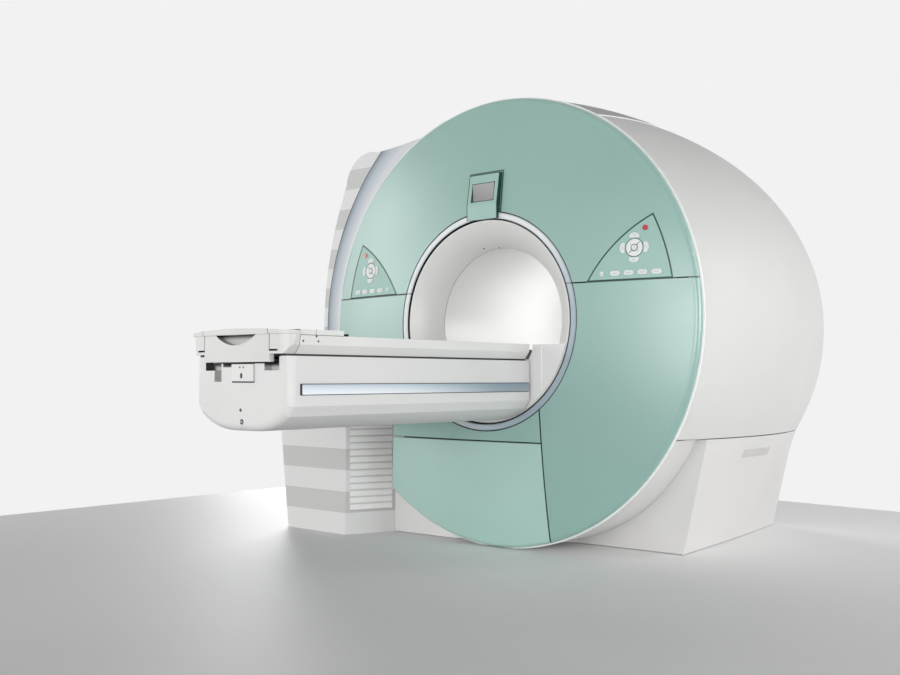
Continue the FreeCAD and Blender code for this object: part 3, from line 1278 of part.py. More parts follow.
for label, low_x, rear_y in (("right", "hull_half_width", STRIP_REAR),
                             ("left", "-hull_half_width - strip_thickness", "(flange_front_y - 20)")):
    top = "strip_low_z + strip_height"
    corners = [
        ("strip_front_y", "strip_low_z"),
        (f"{rear_y} - strip_end_round", "strip_low_z"),
        (rear_y, "strip_low_z + strip_end_round"),
        (rear_y, f"{top} - strip_end_round"),
        (f"{rear_y} - strip_end_round", top),
        ("strip_front_y", top),
    ]
    strips.append(prism(f"strip_{label}", "YZ", corners,
                        {1: "-strip_end_round", 3: "-strip_end_round"},
                        start=low_x, length="strip_thickness"))
node(group("hull_side_strips_group", *strips), "hull_side_strips")

# ---------------------------------------------------------------- tabletop
board = doc.addObject("PartDesign::Body", "tabletop_body")
board_section = body_sketch(board, "board_section", "XZ", [
    ("-board_half_low", "board_low_z"),
    ("board_half_low", "board_low_z"),
    ("board_half_side", "board_side_z"),
    ("board_half_top", "board_top_z"),
    ("dish_half_width", "board_top_z"),
    ("-dish_half_width", "board_top_z"),
    ("-board_half_top", "board_top_z"),
    ("-board_half_side", "board_side_z"),
], {4: "dish_radius"})
BOARD_LENGTH = "(-half_depth - board_rear_gap - board_front_y)"
padded(board, "board_pad", board_section, BOARD_LENGTH)
for label, inner, outer in (("right", "block_inner_x", "block_outer_x"),
                            ("left", "-block_outer_x", "-block_inner_x")):
    block = body_sketch(board, f"block_{label}", "XZ",
                        rectangle(inner, "board_top_z - 20", outer, "block_top_z"),
                        offset=f"{BOARD_LENGTH} - block_length")
    padded(board, f"block_{label}_pad", block, "block_length")
bind(board, Placement__Base__y="-half_depth - board_rear_gap")
node(board, "tabletop")
CAP_REAR = "(board_front_y - seat_gap)"
CAP_FRONT = f"({CAP_REAR} - cap_length)"


def cap_slab(name, section, arcs, back):
    """A section of the end cap drawn along the bore and trimmed to a plan with two round front
    corners and a bowed front edge, set back by a length."""
    bar = prism(name + "_bar", "XZ", section, arcs, start=f"{CAP_FRONT} - cap_bow",
                length="cap_length + cap_bow")
    half = f"(board_half_top + cap_rim_proud - {back})"
    front = f"({CAP_FRONT} + {back})"
    bow = f"(({half} - cap_round) ^ 2 + cap_bow ^ 2) / (2 * cap_bow)"
    plan = prism(name + "_plan", "XY", [
        (f"-{half}", CAP_REAR),
        (half, CAP_REAR),
        (half, f"{front} + cap_round"),
        (f"{half} - cap_round", front),
        (f"-{half} + cap_round", front),
        (f"-{half}", f"{front} + cap_round"),
    ], {2: "cap_round", 3: bow, 4: "cap_round"}, start="skirt_low_z",
        length="cap_side_z + 2 * cap_crown - skirt_low_z")
    return common(name, bar, plan)


RIM_HALF = "(board_half_top + cap_rim_proud)"
CROWN = f"({RIM_HALF} ^ 2 + cap_crown ^ 2) / (2 * cap_crown)"
cap_rim = cap_slab("cap_rim", rectangle(f"-{RIM_HALF}", "cap_rim_z", RIM_HALF, "cap_side_z"),
                   {2: f"-({CROWN})"}, "0")
cap_body = cap_slab("cap_body", [
    ("-board_half_low", "cap_low_z"),
    ("board_half_low", "cap_low_z"),
    ("board_half_side", "board_side_z"),
    ("board_half_top", "cap_rim_z + 1"),
    ("-board_half_top", "cap_rim_z + 1"),
    ("-board_half_side", "board_side_z"),
], None, "cap_rim_proud")
skirt = cap_slab("cap_skirt", rectangle("-skirt_half_width", "skirt_low_z", "skirt_half_width",
                                        "cap_low_z + 1"), None, "cap_rim_proud")
skirt_room = box("skirt_room", ("-board_half_top", f"{CAP_FRONT} + cap_rim_proud + skirt_thickness",
                                "skirt_low_z - 1"),
                 ("board_half_top", "board_front_y + cap_length", "cap_low_z"))
grip = prism("grip", "XZ", [("-grip_half_width", "cap_rim_z"), ("grip_half_width", "cap_rim_z")],
             {0: "-grip_arc", 1: "grip_arc * 40"}, start=f"{CAP_FRONT} - cap_bow",
             length="cap_bow + cap_rim_proud + grip_depth")
cap_cuts = [skirt_room, grip]
for side, way in (("right", ""), ("left", "-")):
    inner, outer = f"{way}skirt_half_width", f"{way}wing_slot_x"
    seam = f"{way}(skirt_half_width - cap_seam)"
    low, high = (inner, outer) if way == "" else (outer, inner)
    cap_cuts.append(box(f"wing_slot_{side}", (low, f"{CAP_FRONT} - cap_bow", "wing_slot_z"),
                        (high, f"{CAP_FRONT} + dock_depth", "wing_slot_z + wing_slot_height")))
    low, high = (seam, inner) if way == "" else (inner, seam)
    cap_cuts.append(box(f"cap_seam_{side}", (low, f"{CAP_FRONT} - cap_bow", "wing_slot_z"),
                        (high, f"{CAP_FRONT} + cap_rim_proud + 2", "cap_rim_z")))
    cap_cuts.append(box(f"rim_seam_{side}", (low, f"{CAP_FRONT} - cap_bow", "cap_rim_z"),
                        (high, f"{CAP_FRONT} + 2", "cap_side_z + 2 * cap_crown")))
cap_blank = fused("end_cap_blank", cap_rim, cap_body, skirt)
node(cut("end_cap_cut", cap_blank, *cap_cuts), "end_cap")

# ---------------------------------------------------------------- bridge
# The bridge fills the bottom of the bore. Its channel guides the tabletop on the hull's tracks.
bridge_section = prism("bridge_section", "XZ", [
    ("-bridge_half_width", "bore_axis_z - bridge_half_width"),
    ("bridge_half_width", "bore_axis_z - bridge_half_width"),
    ("bridge_half_width", "board_top_z"),
    ("board_half_top + channel_gap", "board_top_z"),
    ("board_half_side + channel_gap", "board_side_z"),
    ("board_half_low + channel_gap", "hull_top_z"),
] + ledges("hull_top_z", "trough_half_width", "trough_floor_z") + [
    ("-board_half_low - channel_gap", "hull_top_z"),
    ("-board_half_side - channel_gap", "board_side_z"),
    ("-board_half_top - channel_gap", "board_top_z"),
    ("-bridge_half_width", "board_top_z"),
], start="-half_depth + bridge_inset", length="2 * half_depth - 2 * bridge_inset")
bore_inside = turned("bore_inside", [
    ("0", "0"),
    ("2 * half_depth", "0"),
    ("2 * half_depth", "mouth_radius - seat_gap"),
    ("2 * half_depth - seat_gap", "mouth_radius - seat_gap"),
    ("2 * half_depth - funnel_depth", "bore_radius - seat_gap"),
    ("funnel_depth", "bore_radius - seat_gap"),
    ("mouth_inset", "mouth_radius - seat_gap"),
    ("0", "mouth_radius - seat_gap"),
], {3: "funnel_arc + seat_gap", 5: "funnel_arc + seat_gap"})
node(common("bore_bridge_cut", bridge_section, bore_inside), "bore_bridge")

# ---------------------------------------------------------------- check and write
doc.recompute()
failed = [item.Label for item in doc.Objects if {"Invalid", "Error"} & set(item.State)]
if failed:
    raise RuntimeError(f"these failed: {failed}")
os.makedirs("parts", exist_ok=True)
for item in nodes:
    shape = item.Shape
    if shape.isNull() or not shape.isValid():
        raise RuntimeError(f"{item.Label} has no valid shape")
    shape.exportStep(f"parts/{item.Label}.step")
    print(f"{item.Label}: {len(shape.Solids)} solid, {shape.Volume / 1e6:.2f} litres")
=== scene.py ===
import math
import bmesh
import bpy
import numpy as np
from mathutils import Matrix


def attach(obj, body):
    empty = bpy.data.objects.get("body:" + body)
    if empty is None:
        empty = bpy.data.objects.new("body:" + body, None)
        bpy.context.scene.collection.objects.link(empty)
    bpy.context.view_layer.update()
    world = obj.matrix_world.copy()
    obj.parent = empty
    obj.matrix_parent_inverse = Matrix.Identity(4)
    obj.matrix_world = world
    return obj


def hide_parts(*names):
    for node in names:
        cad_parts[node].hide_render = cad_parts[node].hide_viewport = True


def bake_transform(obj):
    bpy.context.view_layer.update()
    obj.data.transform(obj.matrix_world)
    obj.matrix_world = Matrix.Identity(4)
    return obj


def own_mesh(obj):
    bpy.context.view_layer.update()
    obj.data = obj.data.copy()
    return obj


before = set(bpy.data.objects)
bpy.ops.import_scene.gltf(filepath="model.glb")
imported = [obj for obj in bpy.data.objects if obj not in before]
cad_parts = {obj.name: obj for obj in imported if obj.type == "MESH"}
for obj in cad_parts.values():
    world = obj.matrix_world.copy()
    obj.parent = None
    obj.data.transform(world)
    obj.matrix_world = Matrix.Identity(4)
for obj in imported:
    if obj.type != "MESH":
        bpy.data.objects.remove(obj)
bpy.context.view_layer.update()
scene = bpy.context.scene
scene.view_settings.view_transform = "Standard"

# ------------------------------------------------------------------ studio
# A pale, satin studio floor that ends in front of a white backdrop. Painted light makes it lighter
# towards its right side, and it keeps the machine's soft shadow.


class Shade:
    """One socket of a material, or a bare node tree. Sums, differences, products, quotients
    and powers of a socket add Math nodes, and node() adds any other node."""

    def __init__(self, tree, socket=None):
        self.tree = tree
        self.socket = socket

    def node(self, kind, settings=None, values=None, output=0):
        """Adds one node: its settings and ramp stops first, then its sockets' values or links."""
        made = self.tree.nodes.new(kind)
        for name, setting in (settings or {}).items():
            if name != "stops":
                setattr(made, name, setting)
                continue
            (first, low), *middle, (last, high) = setting
            ends = made.color_ramp.elements
            ends[0].position, ends[0].color = first, (*low, 1)
            ends[1].position, ends[1].color = last, (*high, 1)
            for place, colour in middle:
                ends.new(place).color = (*colour, 1)
        for name, value in (values or {}).items():
            if isinstance(value, Shade):
                self.tree.links.new(value.socket, made.inputs[name])
            else:
                made.inputs[name].default_value = value
        return Shade(self.tree, made.outputs[output])

    def maths(self, operation, other=0.0, swapped=False):
        """A Math node on this socket and another value, which comes first if swapped."""
        pair = (other, self) if swapped else (self, other)
        return self.node("ShaderNodeMath", {"operation": operation}, dict(enumerate(pair)))

    def __add__(self, other):
        return self.maths("ADD", other)

    def __sub__(self, other):
        return self.maths("SUBTRACT", other)

    def __rsub__(self, other):
        return self.maths("SUBTRACT", other, swapped=True)

    def __mul__(self, other):
        return self.maths("MULTIPLY", other)

    def __truediv__(self, other):
        return self.maths("DIVIDE", other)

    def __pow__(self, other):
        return self.maths("POWER", other)

    def __abs__(self):
        return self.maths("ABSOLUTE")

    __radd__, __rmul__ = __add__, __mul__

    def axis(self, letter):
        """One coordinate of this vector."""
        return self.node("ShaderNodeSeparateXYZ", None, {0: self}, "XYZ".index(letter))

    def noise(self, scale, detail=2.0, stretch=(1, 1, 1)):
        """A smooth random pattern from 0 to 1 with this many waves per metre."""
        place = self
        if stretch != (1, 1, 1):
            place = self.node("ShaderNodeMapping", None, {"Vector": self, "Scale": stretch})
        return self.node("ShaderNodeTexNoise", None,
                         {"Vector": place, "Scale": scale, "Detail": detail})

    def least(self, *others):
        """The smallest of this and other sockets."""
        result = self
        for other in others:
            result = result.maths("MINIMUM", other)
        return result

    def most(self, *others):
        """The largest of this and other sockets."""
        result = self
        for other in others:
            result = result.maths("MAXIMUM", other)
        return result

    def waves(self, pace):
        """A sine pattern from 0 to 1 that runs through this many radians per metre."""
        return (self * pace).maths("SINE") * 0.5 + 0.5

    def far_from(self, across, up):
        """Distance of this point from a spot in the front view, on either side of the middle."""
        return ((abs(self.axis("X")) - across) ** 2 + (self.axis("Z") - up) ** 2) ** 0.5

    def rise(self, low, high):
        """0 below low, 1 above high, smooth between."""
        return self.node("ShaderNodeMapRange", {"interpolation_type": "SMOOTHSTEP"},
                         {"Value": self, "From Min": low, "From Max": high})

    def near(self, full, none):
        """1 within the first distance from 0 on either side, 0 beyond the second, smooth
        between."""
        return 1 - abs(self).rise(full, none)

    def between(self, first, second):
        """The mix of two colours, each a triple or a Shade, by this factor."""
        colours = [c if isinstance(c, Shade) else (*c, 1) for c in (first, second)]
        return self.node("ShaderNodeMix", {"data_type": "RGBA"},
                         {0: self, 6: colours[0], 7: colours[1]}, 2)

    def bump(self, depth):
        """A normal from this height, whose full range stands depth metres proud."""
        return self.node("ShaderNodeBump", None,
                         {"Height": self, "Distance": depth, "Strength": 1.0})


def tone(red, green, blue):
    """The linear colour of a paint given as it looks on a display, 0 to 255."""
    return tuple((c / 255 / 12.92) if c <= 10 else ((c / 255 + 0.055) / 1.055) ** 2.4
                 for c in (red, green, blue))


def finish(name, **constants):
    """A new material with constant sockets set on its shader. Returns the object coordinates
    as a Shade, and a function that links the sockets that vary and gives the material."""
    material = bpy.data.materials.new(name)
    material.use_nodes = True
    tree = material.node_tree
    shader = tree.nodes["Principled BSDF"]
    for socket, value in constants.items():
        shader.inputs[socket.replace("_", " ")].default_value = value
    place = Shade(tree).node("ShaderNodeTexCoord", output="Object")

    def vary(**links):
        for socket, value in links.items():
            tree.links.new(value.socket, shader.inputs[socket.replace("_", " ")])
        return material

    return place, vary


def mesh_object(name, points, faces, material):
    """A mesh object at the origin from points in the row frame, welded, with faces outwards
    and edges over 40 degrees kept sharp."""
    mesh = bpy.data.meshes.new(name)
    mesh.from_pydata(np.asarray(points).reshape(-1, 3).tolist(), [], np.asarray(faces).tolist())
    shell = bmesh.new()
    shell.from_mesh(mesh)
    bmesh.ops.remove_doubles(shell, verts=shell.verts, dist=1e-6)
    loose = [edge for edge in shell.edges if not edge.link_faces]
    bmesh.ops.delete(shell, geom=loose, context="EDGES")
    bmesh.ops.recalc_face_normals(shell, faces=shell.faces)
    shell.to_mesh(mesh)
    shell.free()
    mesh.shade_smooth()
    mesh.set_sharp_from_angle(angle=math.radians(40))
    mesh.materials.append(material)
    piece = bpy.data.objects.new(name, mesh)
    scene.collection.objects.link(piece)
    return piece


place, vary = finish("studio_floor", Specular_IOR_Level=0.2)
# The floor's colour carries painted light: lighter towards the right and the far side.
floor_painted_light = place.axis("X") * 0.768 + place.axis("Y") * 0.64 + (place.noise(0.9, 1.0) - 0.5) * 0.5
studio_floor = mesh_object(
    "studio_floor", [(-2.89, -12, 0), (9, -12, 0), (9, 0.73, 0), (-2.89, 2.38, 0)],
    [(0, 1, 2, 3)],
    vary(Base_Color=floor_painted_light.rise(-3.0, 1.5).between(tone(209, 209, 209), tone(250, 250, 250)),
         Roughness=place.noise(14, 3.0) * 0.1 + 0.5))

# The backdrop is pale where the camera or a glossy surface sees it. Its light on the machine is
# weaker, and weakest from above.
world = bpy.data.worlds.new("studio")
scene.world = world
world.use_nodes = True
background = world.node_tree.nodes["Background"]
sky = Shade(world.node_tree)
seen, mirrored, through = [sky.node("ShaderNodeLightPath", output=f"Is {kind} Ray")
                           for kind in ("Camera", "Glossy", "Transmission")]
shown = seen.most(mirrored, through)
steepness = sky.node("ShaderNodeTexCoord", output="Generated").axis("Z")
fill = 0.3 - steepness.rise(0.2, 0.7) * 0.21
background.inputs["Color"].default_value = (*tone(242, 242, 242), 1)
world.node_tree.links.new((shown * (1 - fill) + fill).socket, background.inputs["Strength"])


def softbox(name, place, aim, size, watts):
    """A rectangular soft lamp at one place, turned towards another and hidden from the camera."""
    lamp = bpy.data.lights.new(name, "AREA")
    lamp.shape = "RECTANGLE"
    lamp.size, lamp.size_y = size
    lamp.energy = watts
    holder = bpy.data.objects.new(name, lamp)
    scene.collection.objects.link(holder)
    holder.visible_camera = False
    holder.location = place
    way = np.subtract(aim, place)
    level = math.hypot(way[0], way[1])
    holder.rotation_euler = (math.atan2(level, -way[2]), 0, math.atan2(-way[0], way[1]))


# Large soft boxes stand in front, beside and behind, and a small one lights the tube's inside.
softbox("right_light", (9.5, 0.2, 1.25), (0.4, -0.3, 1.0), (4.0, 2.4), 372)
softbox("front_light", (4.6, -9.0, 1.4), (0.1, -0.6, 1.0), (5.0, 2.9), 345)
softbox("edge_light", (0.1, -11.5, 1.2), (0.6, -0.8, 1.0), (1.6, 4.0), 250)
softbox("front_left_light", (-4.2, -6.0, 1.6), (-0.3, -0.8, 1.0), (3.5, 3.0), 60)
softbox("left_light", (-5.7, -3.7, 2.5), (-0.3, -0.8, 1.3), (1.6, 3.2), 60)
softbox("rear_left_light", (-5.0, 3.5, 2.2), (-0.8, 0.0, 1.0), (3.0, 3.0), 235)
softbox("rear_right_light", (4.5, 2.5, 2.5), (3.0, 1.0, 0.0), (2.0, 2.0), 55)
softbox("bore_light", (0.28, -0.04, 1.2), (-0.35, -0.25, 1.15), (0.7, 0.2), 3.5)

# The camera stands low in front of the machine, to its right, and looks up by two degrees.
camera = bpy.data.objects.new("camera", bpy.data.cameras.new("camera"))
scene.collection.objects.link(camera)
camera.location = (3.0553, -4.7505, 0.7907)
camera.rotation_euler = (math.radians(92.173), 0, math.radians(39.826))
camera.data.lens = 42.79
camera.data.sensor_width = 36
camera.data.clip_end = 100
scene.camera = camera

# ------------------------------------------------------------------ front cover
# Four domed panels of painted glass-fibre resin round the bore: the upper one, the left and
# right lower ones and the service door. A matt lacquer with a fine spray texture covers them.


def dress(material, *names):
    """Gives CAD nodes a material through their objects' slots."""
    for name in names:
        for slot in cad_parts[name].material_slots:
            slot.link = "OBJECT"
            slot.material = material


# Places in the front view: the bore's axis, the level seam, the upright seam and the door's
# top, then the display's half width and top. A panel ends at a reach from the bore's axis and
# at an arc round a centre of its own.
BORE_Z, SEAM_Z, SPLIT_X, DOOR_Z = 1.055, 1.205, 0.31, 0.5
DISPLAY_HALF, DISPLAY_TOP = 0.0965, 1.752
PANEL_REACH, PANEL_ARC, PANEL_CENTRE = 0.951, 0.68, (1.1523, 0.8732)


def joints(place):
    """1 in the joints of the front covers, the panels and the display, and 0 from 6 mm away:
    the least distance to the level seam, the upright seam, the door's top, the display's
    rectangle and the panels' outline, which is the level seam and two arcs."""
    across, up = place.axis("X"), place.axis("Z")
    beside = abs(across)
    level = abs(up - SEAM_Z)
    split = abs(across - SPLIT_X) + (up - SEAM_Z).rise(0.0, 0.001)
    door = abs(up - DOOR_Z) + (across - SPLIT_X).rise(0.0, 0.001)
    display = abs((beside - DISPLAY_HALF).most(up - DISPLAY_TOP)) + (1.53 - up).rise(0.0, 0.001)
    panel = abs((up - (SEAM_Z + 0.002)).least(PANEL_REACH - place.far_from(0.0, BORE_Z),
                                              PANEL_ARC - place.far_from(*PANEL_CENTRE)) - 0.001)
    nearest = level.least(split, door, display, panel) + across.rise(-0.6, 0.4) * 0.0012
    return 1 - nearest.rise(0.0034, 0.006)


def lacquer(name, colour, shade, rough=0.42, spray=0.00006, lines=None, dark_tone=(8, 62, 50),
            **constants):
    """Sprayed lacquer: cloudy tone between two colours, a pebbled skin and uneven gloss, with a
    dark tone where a function of the place gives 1, for joints, print and painted shade."""
    place, vary = finish(name, **constants)
    paint = place.noise(1.7, 3.0).rise(0.25, 0.75).between(shade, colour)
    if lines:
        paint = lines(place).between(paint, tone(*dark_tone))
    return vary(Base_Color=paint,
                Roughness=(place.noise(9, 3.0) - 0.5) * 0.12 + rough,
                Normal=place.noise(420, 2.0).bump(spray))


cover_green = lacquer("cover_green", tone(136, 173, 165), tone(131, 168, 159), 0.34, lines=joints,
                      Coat_Weight=1.0, Coat_Roughness=0.32)
dress(cover_green, "front_cover_top", "front_cover_left", "front_cover_right")
door_green = lacquer("door_green", tone(164, 196, 188), tone(158, 190, 182), 0.34, lines=joints,
                     Coat_Weight=0.8, Coat_Roughness=0.32)
dress(door_green, "service_door")

# ------------------------------------------------------------------ white rim
# A flat band of white lacquered aluminium closes the joint behind the front cover. It is held
# from inside, so that no screw shows.
rim_white = lacquer("rim_white", tone(234, 235, 234), tone(229, 230, 229), 0.38)
dress(rim_white, "front_rim")

# ------------------------------------------------------------------ control panels
# A triangular membrane keyboard lies in the cover on each side: white keys printed with
# plain marks and a round red stop key that stands proud. The direction keys lie round one
# centre, where the keyboard faces in the direction PAD_OUT.
PAD, PAD_Y, PAD_OUT = (0.772, 1.342), -0.79755, (0.15224, -0.98672, 0.0566)


def panel_lines(place):
    """The joints of the panel, and a dark ring round the white disc as its painted shadow."""
    ring = (place.far_from(*PAD) - 0.0385).near(0.0012, 0.0022)
    return joints(place).most(ring)


panel_green = lacquer("panel_green", tone(152, 187, 179), tone(147, 182, 174), 0.4,
                      lines=panel_lines)
dress(panel_green, "left_control_panel", "right_control_panel")

# The lower row of keys: its height, half a step before its first key, and its step.
ROW_Z, ROW_START, ROW_STEP = 1.2355, 0.6565, 0.061


def key_marks(place):
    """Printed marks: short strokes on the keys of the lower row and a bar on each direction
    key."""
    beside, up = abs(place.axis("X")), place.axis("Z")
    along = (((beside - ROW_START) / ROW_STEP).maths("FRACT") - 0.5) * ROW_STEP
    strokes = (up - ROW_Z).near(0.0012, 0.0026) * along.near(0.011, 0.013)
    breaks = (along * 1400).maths("SINE").rise(-0.5, -0.1)
    turn = abs(beside - PAD[0]).least(abs(up - PAD[1]))
    bars = (place.far_from(*PAD) - 0.0535).near(0.0012, 0.0026) * (1 - turn.rise(0.004, 0.006))
    return (strokes * breaks * 0.6).most(bars * 0.5)


key_white = lacquer("key_white", tone(218, 222, 220), tone(212, 217, 214), 0.45, 0.00002,
                    lines=key_marks, dark_tone=(110, 118, 116))
place, vary = finish("stop_red", Coat_Weight=0.4)
middle = place.far_from(0.816, 1.423)
rim = middle.rise(0.0022, 0.004) * (1 - middle.rise(0.0088, 0.0105))
stop_red = vary(Base_Color=rim.between(tone(196, 54, 54), tone(166, 20, 28)),
                Roughness=place.noise(60, 2.0) * 0.1 + 0.28)
keys = ["centre_button", "up_button", "inward_button", "down_button", "outward_button",
        "round_button", "row_button_1", "row_button_2", "row_button_3", "row_button_4"]


def turned(profile, centre, out, steps, widths=(1, 1)):
    """Surface of revolution: each profile pair is a reach from the axis and a height along it,
    and goes once round the axis that leaves the centre in the outward direction. Two widths
    stretch the circle to an oval. The profile closes on itself or at the axis."""
    out = np.array(out) / np.linalg.norm(out)
    level = np.cross(out, (0, 0, 1))
    level /= np.linalg.norm(level)
    angle = np.linspace(0, 2 * np.pi, steps, endpoint=False)
    circle = (widths[0] * np.cos(angle)[:, None] * level
              + widths[1] * np.sin(angle)[:, None] * np.cross(level, out))
    reach, height = np.array(profile).T[:, :, None, None]
    return wrapped(np.array(centre) + reach * circle + height * out)


def wrapped(points):
    """Quads over a grid of points whose rows and columns both close on themselves."""
    index = np.arange(points[..., 0].size).reshape(points.shape[:2])
    down, right = np.roll(index, -1, 0), np.roll(index, -1, 1)
    return (points.reshape(-1, 3),
            np.stack([index, right, np.roll(right, -1, 0), down], -1).reshape(-1, 4))


def gathered(*shells):
    """Several pairs of points and faces as one pair."""
    starts = np.cumsum([0] + [len(points) for points, faces in shells[:-1]])
    return (np.concatenate([points for points, faces in shells]),
            np.concatenate([faces + start for (points, faces), start in zip(shells, starts)]))


# A white moulded disc round the centre key, with two crossing lines printed on it.
place, vary = finish("pad_disc_white")
across, up = abs(place.axis("X")) - PAD[0], place.axis("Z") - PAD[1]
reach = place.far_from(*PAD)
rising = (across - up).near(0.0016, 0.003) * (1 - reach.rise(0.031, 0.033))
falling = ((across + up).near(0.0016, 0.003) * (1 - reach.rise(0.026, 0.028))
           * reach.rise(0.018, 0.02) * 0.5)
collar = 1 - reach.rise(0.0152, 0.0166)
pad_white = vary(Base_Color=rising.most(falling, collar).between(tone(222, 226, 224),
                                                                 tone(86, 94, 92)),
                 Roughness=place.noise(50, 2.0) * 0.1 + 0.42)
DISC = [(0.0128, -0.001), (0.0128, 0.0008), (0.0133, 0.0012), (0.0362, 0.0012), (0.037, 0.0009),
        (0.0373, 0.0002), (0.0373, -0.001)]
for side, way in (("left", -1), ("right", 1)):
    dress(key_white, *[f"{side}_{key}" for key in keys])
    dress(stop_red, f"{side}_stop_button")
    disc = mesh_object(f"{side}_pad_disc",
                       *turned(DISC, (way * PAD[0], PAD_Y, PAD[1]),
                               (way * PAD_OUT[0], PAD_OUT[1], PAD_OUT[2]), 64), pad_white)
    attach(disc, "gantry")

# ------------------------------------------------------------------ display
# A small grey reading screen lies behind the window of a green bezel. The bezel is moulded
# resin and hangs from the upper cover down to the ring.


def bezel_lines(place):
    """The joint round the bezel and the edge of the screen's window."""
    beside, up = abs(place.axis("X")), place.axis("Z")
    window = abs((beside - 0.063).most(abs(up - 1.656) - 0.041))
    rim = abs((beside - (DISPLAY_HALF - 0.008)).most(up - (DISPLAY_TOP - 0.008)))
    return 1 - window.least(rim).rise(0.0028, 0.0052)


bezel_green = lacquer("bezel_green", tone(158, 191, 183), tone(151, 185, 176), 0.38,
                      lines=bezel_lines)
dress(bezel_green, "display_bezel")
place, vary = finish("screen_grey", Coat_Weight=0.3, Coat_Roughness=0.1)
glare = (place.axis("Z") * 9.0 + place.axis("X") * 4.0).rise(14.4, 15.4)
lines = place.axis("Z").waves(2400)
dress(vary(Base_Color=(glare * 0.8 + lines * 0.2).between(tone(122, 120, 121),
                                                         tone(152, 150, 151)),
           Roughness=place.noise(30, 2.0) * 0.1 + 0.25),
      "display_screen")

# ------------------------------------------------------------------ ring and funnels
# A silver anodised ring frames the bore, with painted shade on its lower right. It is black at its
# two edges: a joint at the outer one, and painted shadow of the gap at the inner one. Behind it a
# flared funnel of white gloss resin leads to the straight tube, and a second funnel closes the
# rear.
place, vary = finish("ring_silver", Metallic=0.1)
reach = place.far_from(0.0, BORE_Z)
# Painted shade darkens the ring's lower right.
lower_right_painted_shade = (place.axis("X") * 0.8 - (place.axis("Z") - BORE_Z) * 0.6).rise(0.0, 0.42)
anodised_and_painted_shade = (lower_right_painted_shade + (place.noise(2.2, 2.0) - 0.5) * 0.2).between(
    tone(212, 215, 218), tone(156, 171, 180))
seam = (place.axis("Z") - SEAM_Z).near(0.0012, 0.003)
edged = ((1 - reach.rise(0.4778, 0.4792)) + reach.rise(0.5058, 0.507) + seam * 0.9).between(
    anodised_and_painted_shade, tone(22, 24, 24))
grooves = reach.waves(5200)
dress(vary(Base_Color=edged,
           Roughness=grooves * 0.08 + 0.32,
           Normal=grooves.bump(0.00002)),
      "ring_trim")


def mouth_joint(place):
    """A fine line where a funnel meets the tube."""
    return (abs(place.axis("Y")) - 0.708).near(0.0008, 0.002) * 0.8


bore_white = lacquer("bore_white", tone(234, 234, 232), tone(229, 229, 227), 0.32, 0.00003,
                     lines=mouth_joint, dark_tone=(128, 128, 126))
# The funnels are a darker copy of the tube's white: painted shade.
funnel_white_painted_shade = lacquer("funnel_white_painted_shade", tone(219, 219, 217), tone(214, 214, 212), 0.34, 0.00003,
                       lines=mouth_joint, dark_tone=(128, 128, 126))
dress(bore_white, "bore_tube")
dress(funnel_white_painted_shade, "front_funnel", "rear_funnel")

# A black rubber ring lies between the ring and the funnel's lip, a dark piece that stands for the
# shadow in the gap there.
place, vary = finish("rubber_and_shadow_black", Specular_IOR_Level=0.15)
black_rubber_and_shadow = vary(Base_Color=place.noise(12, 3.0).between(tone(14, 15, 15), tone(24, 25, 25)),
              Roughness=place.noise(90, 2.0) * 0.2 + 0.6,
              Normal=place.noise(600, 2.0).bump(0.00005))
SHADOW_SEAL = [(0.4718, -0.0135), (0.4718, -0.007), (0.4726, -0.0046), (0.4744, -0.0038),
        (0.4766, -0.0046), (0.4766, -0.0135)]
RING_FRONT = -0.84
mouth_shadow_seal = mesh_object("mouth_shadow_seal",
                         *turned(SHADOW_SEAL, (0, RING_FRONT, BORE_Z), (0, -1, 0), 160), black_rubber_and_shadow)
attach(mouth_shadow_seal, "gantry")

# Two countersunk screws hold the funnel to the tube at its top.
place, vary = finish("screw_dark", Metallic=0.6)
screw_steel = vary(Base_Color=place.noise(300, 2.0).between(tone(58, 60, 61), tone(84, 86, 88)),
                   Roughness=place.noise(200, 2.0) * 0.2 + 0.35)


def screw(centre, out, radius):
    """A round head: a low dome that falls to a hollow driver's socket at its middle."""
    head = [(0, 0.06), (0.42, 0.06), (0.48, 0.2), (0.64, 0.24), (0.88, 0.18), (1, 0.04),
            (1, -0.5), (0, -0.5)]
    return turned([(radius * a, radius * b) for a, b in head], centre, out, 24)


funnel_screws = mesh_object(
    "funnel_screws",
    *gathered(screw((-0.0826, -0.7346, 1.4087), (0.208, -0.474, -0.856), 0.0042),
              screw((-0.0036, -0.7180, 1.4081), (0.005, -0.30, -0.95), 0.0034)), screw_steel)
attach(funnel_screws, "gantry")

# ------------------------------------------------------------------ magnet and frames
# The welded vessel, its coil of cast resin, the feet, the cold head and the two cover frames
# are closed in by the covers.
vessel_paint = lacquer("vessel_paint", tone(205, 208, 210), tone(198, 201, 204), 0.5)
dress(vessel_paint, "magnet_vessel")
place, vary = finish("coil_resin", Coat_Weight=0.2)
winding = place.axis("Y").waves(330)
dress(vary(Base_Color=(winding * 0.7 + place.noise(6, 4.0) * 0.3).between(
               tone(176, 150, 92), tone(150, 120, 66)),
           Roughness=place.noise(40, 2.0) * 0.2 + 0.4,
           Normal=winding.bump(0.0006)),
      "gradient_coil")
frame_paint = lacquer("frame_paint", tone(150, 154, 156), tone(142, 146, 149), 0.55, 0.0001)
dress(frame_paint, "rear_frame", "magnet_feet")
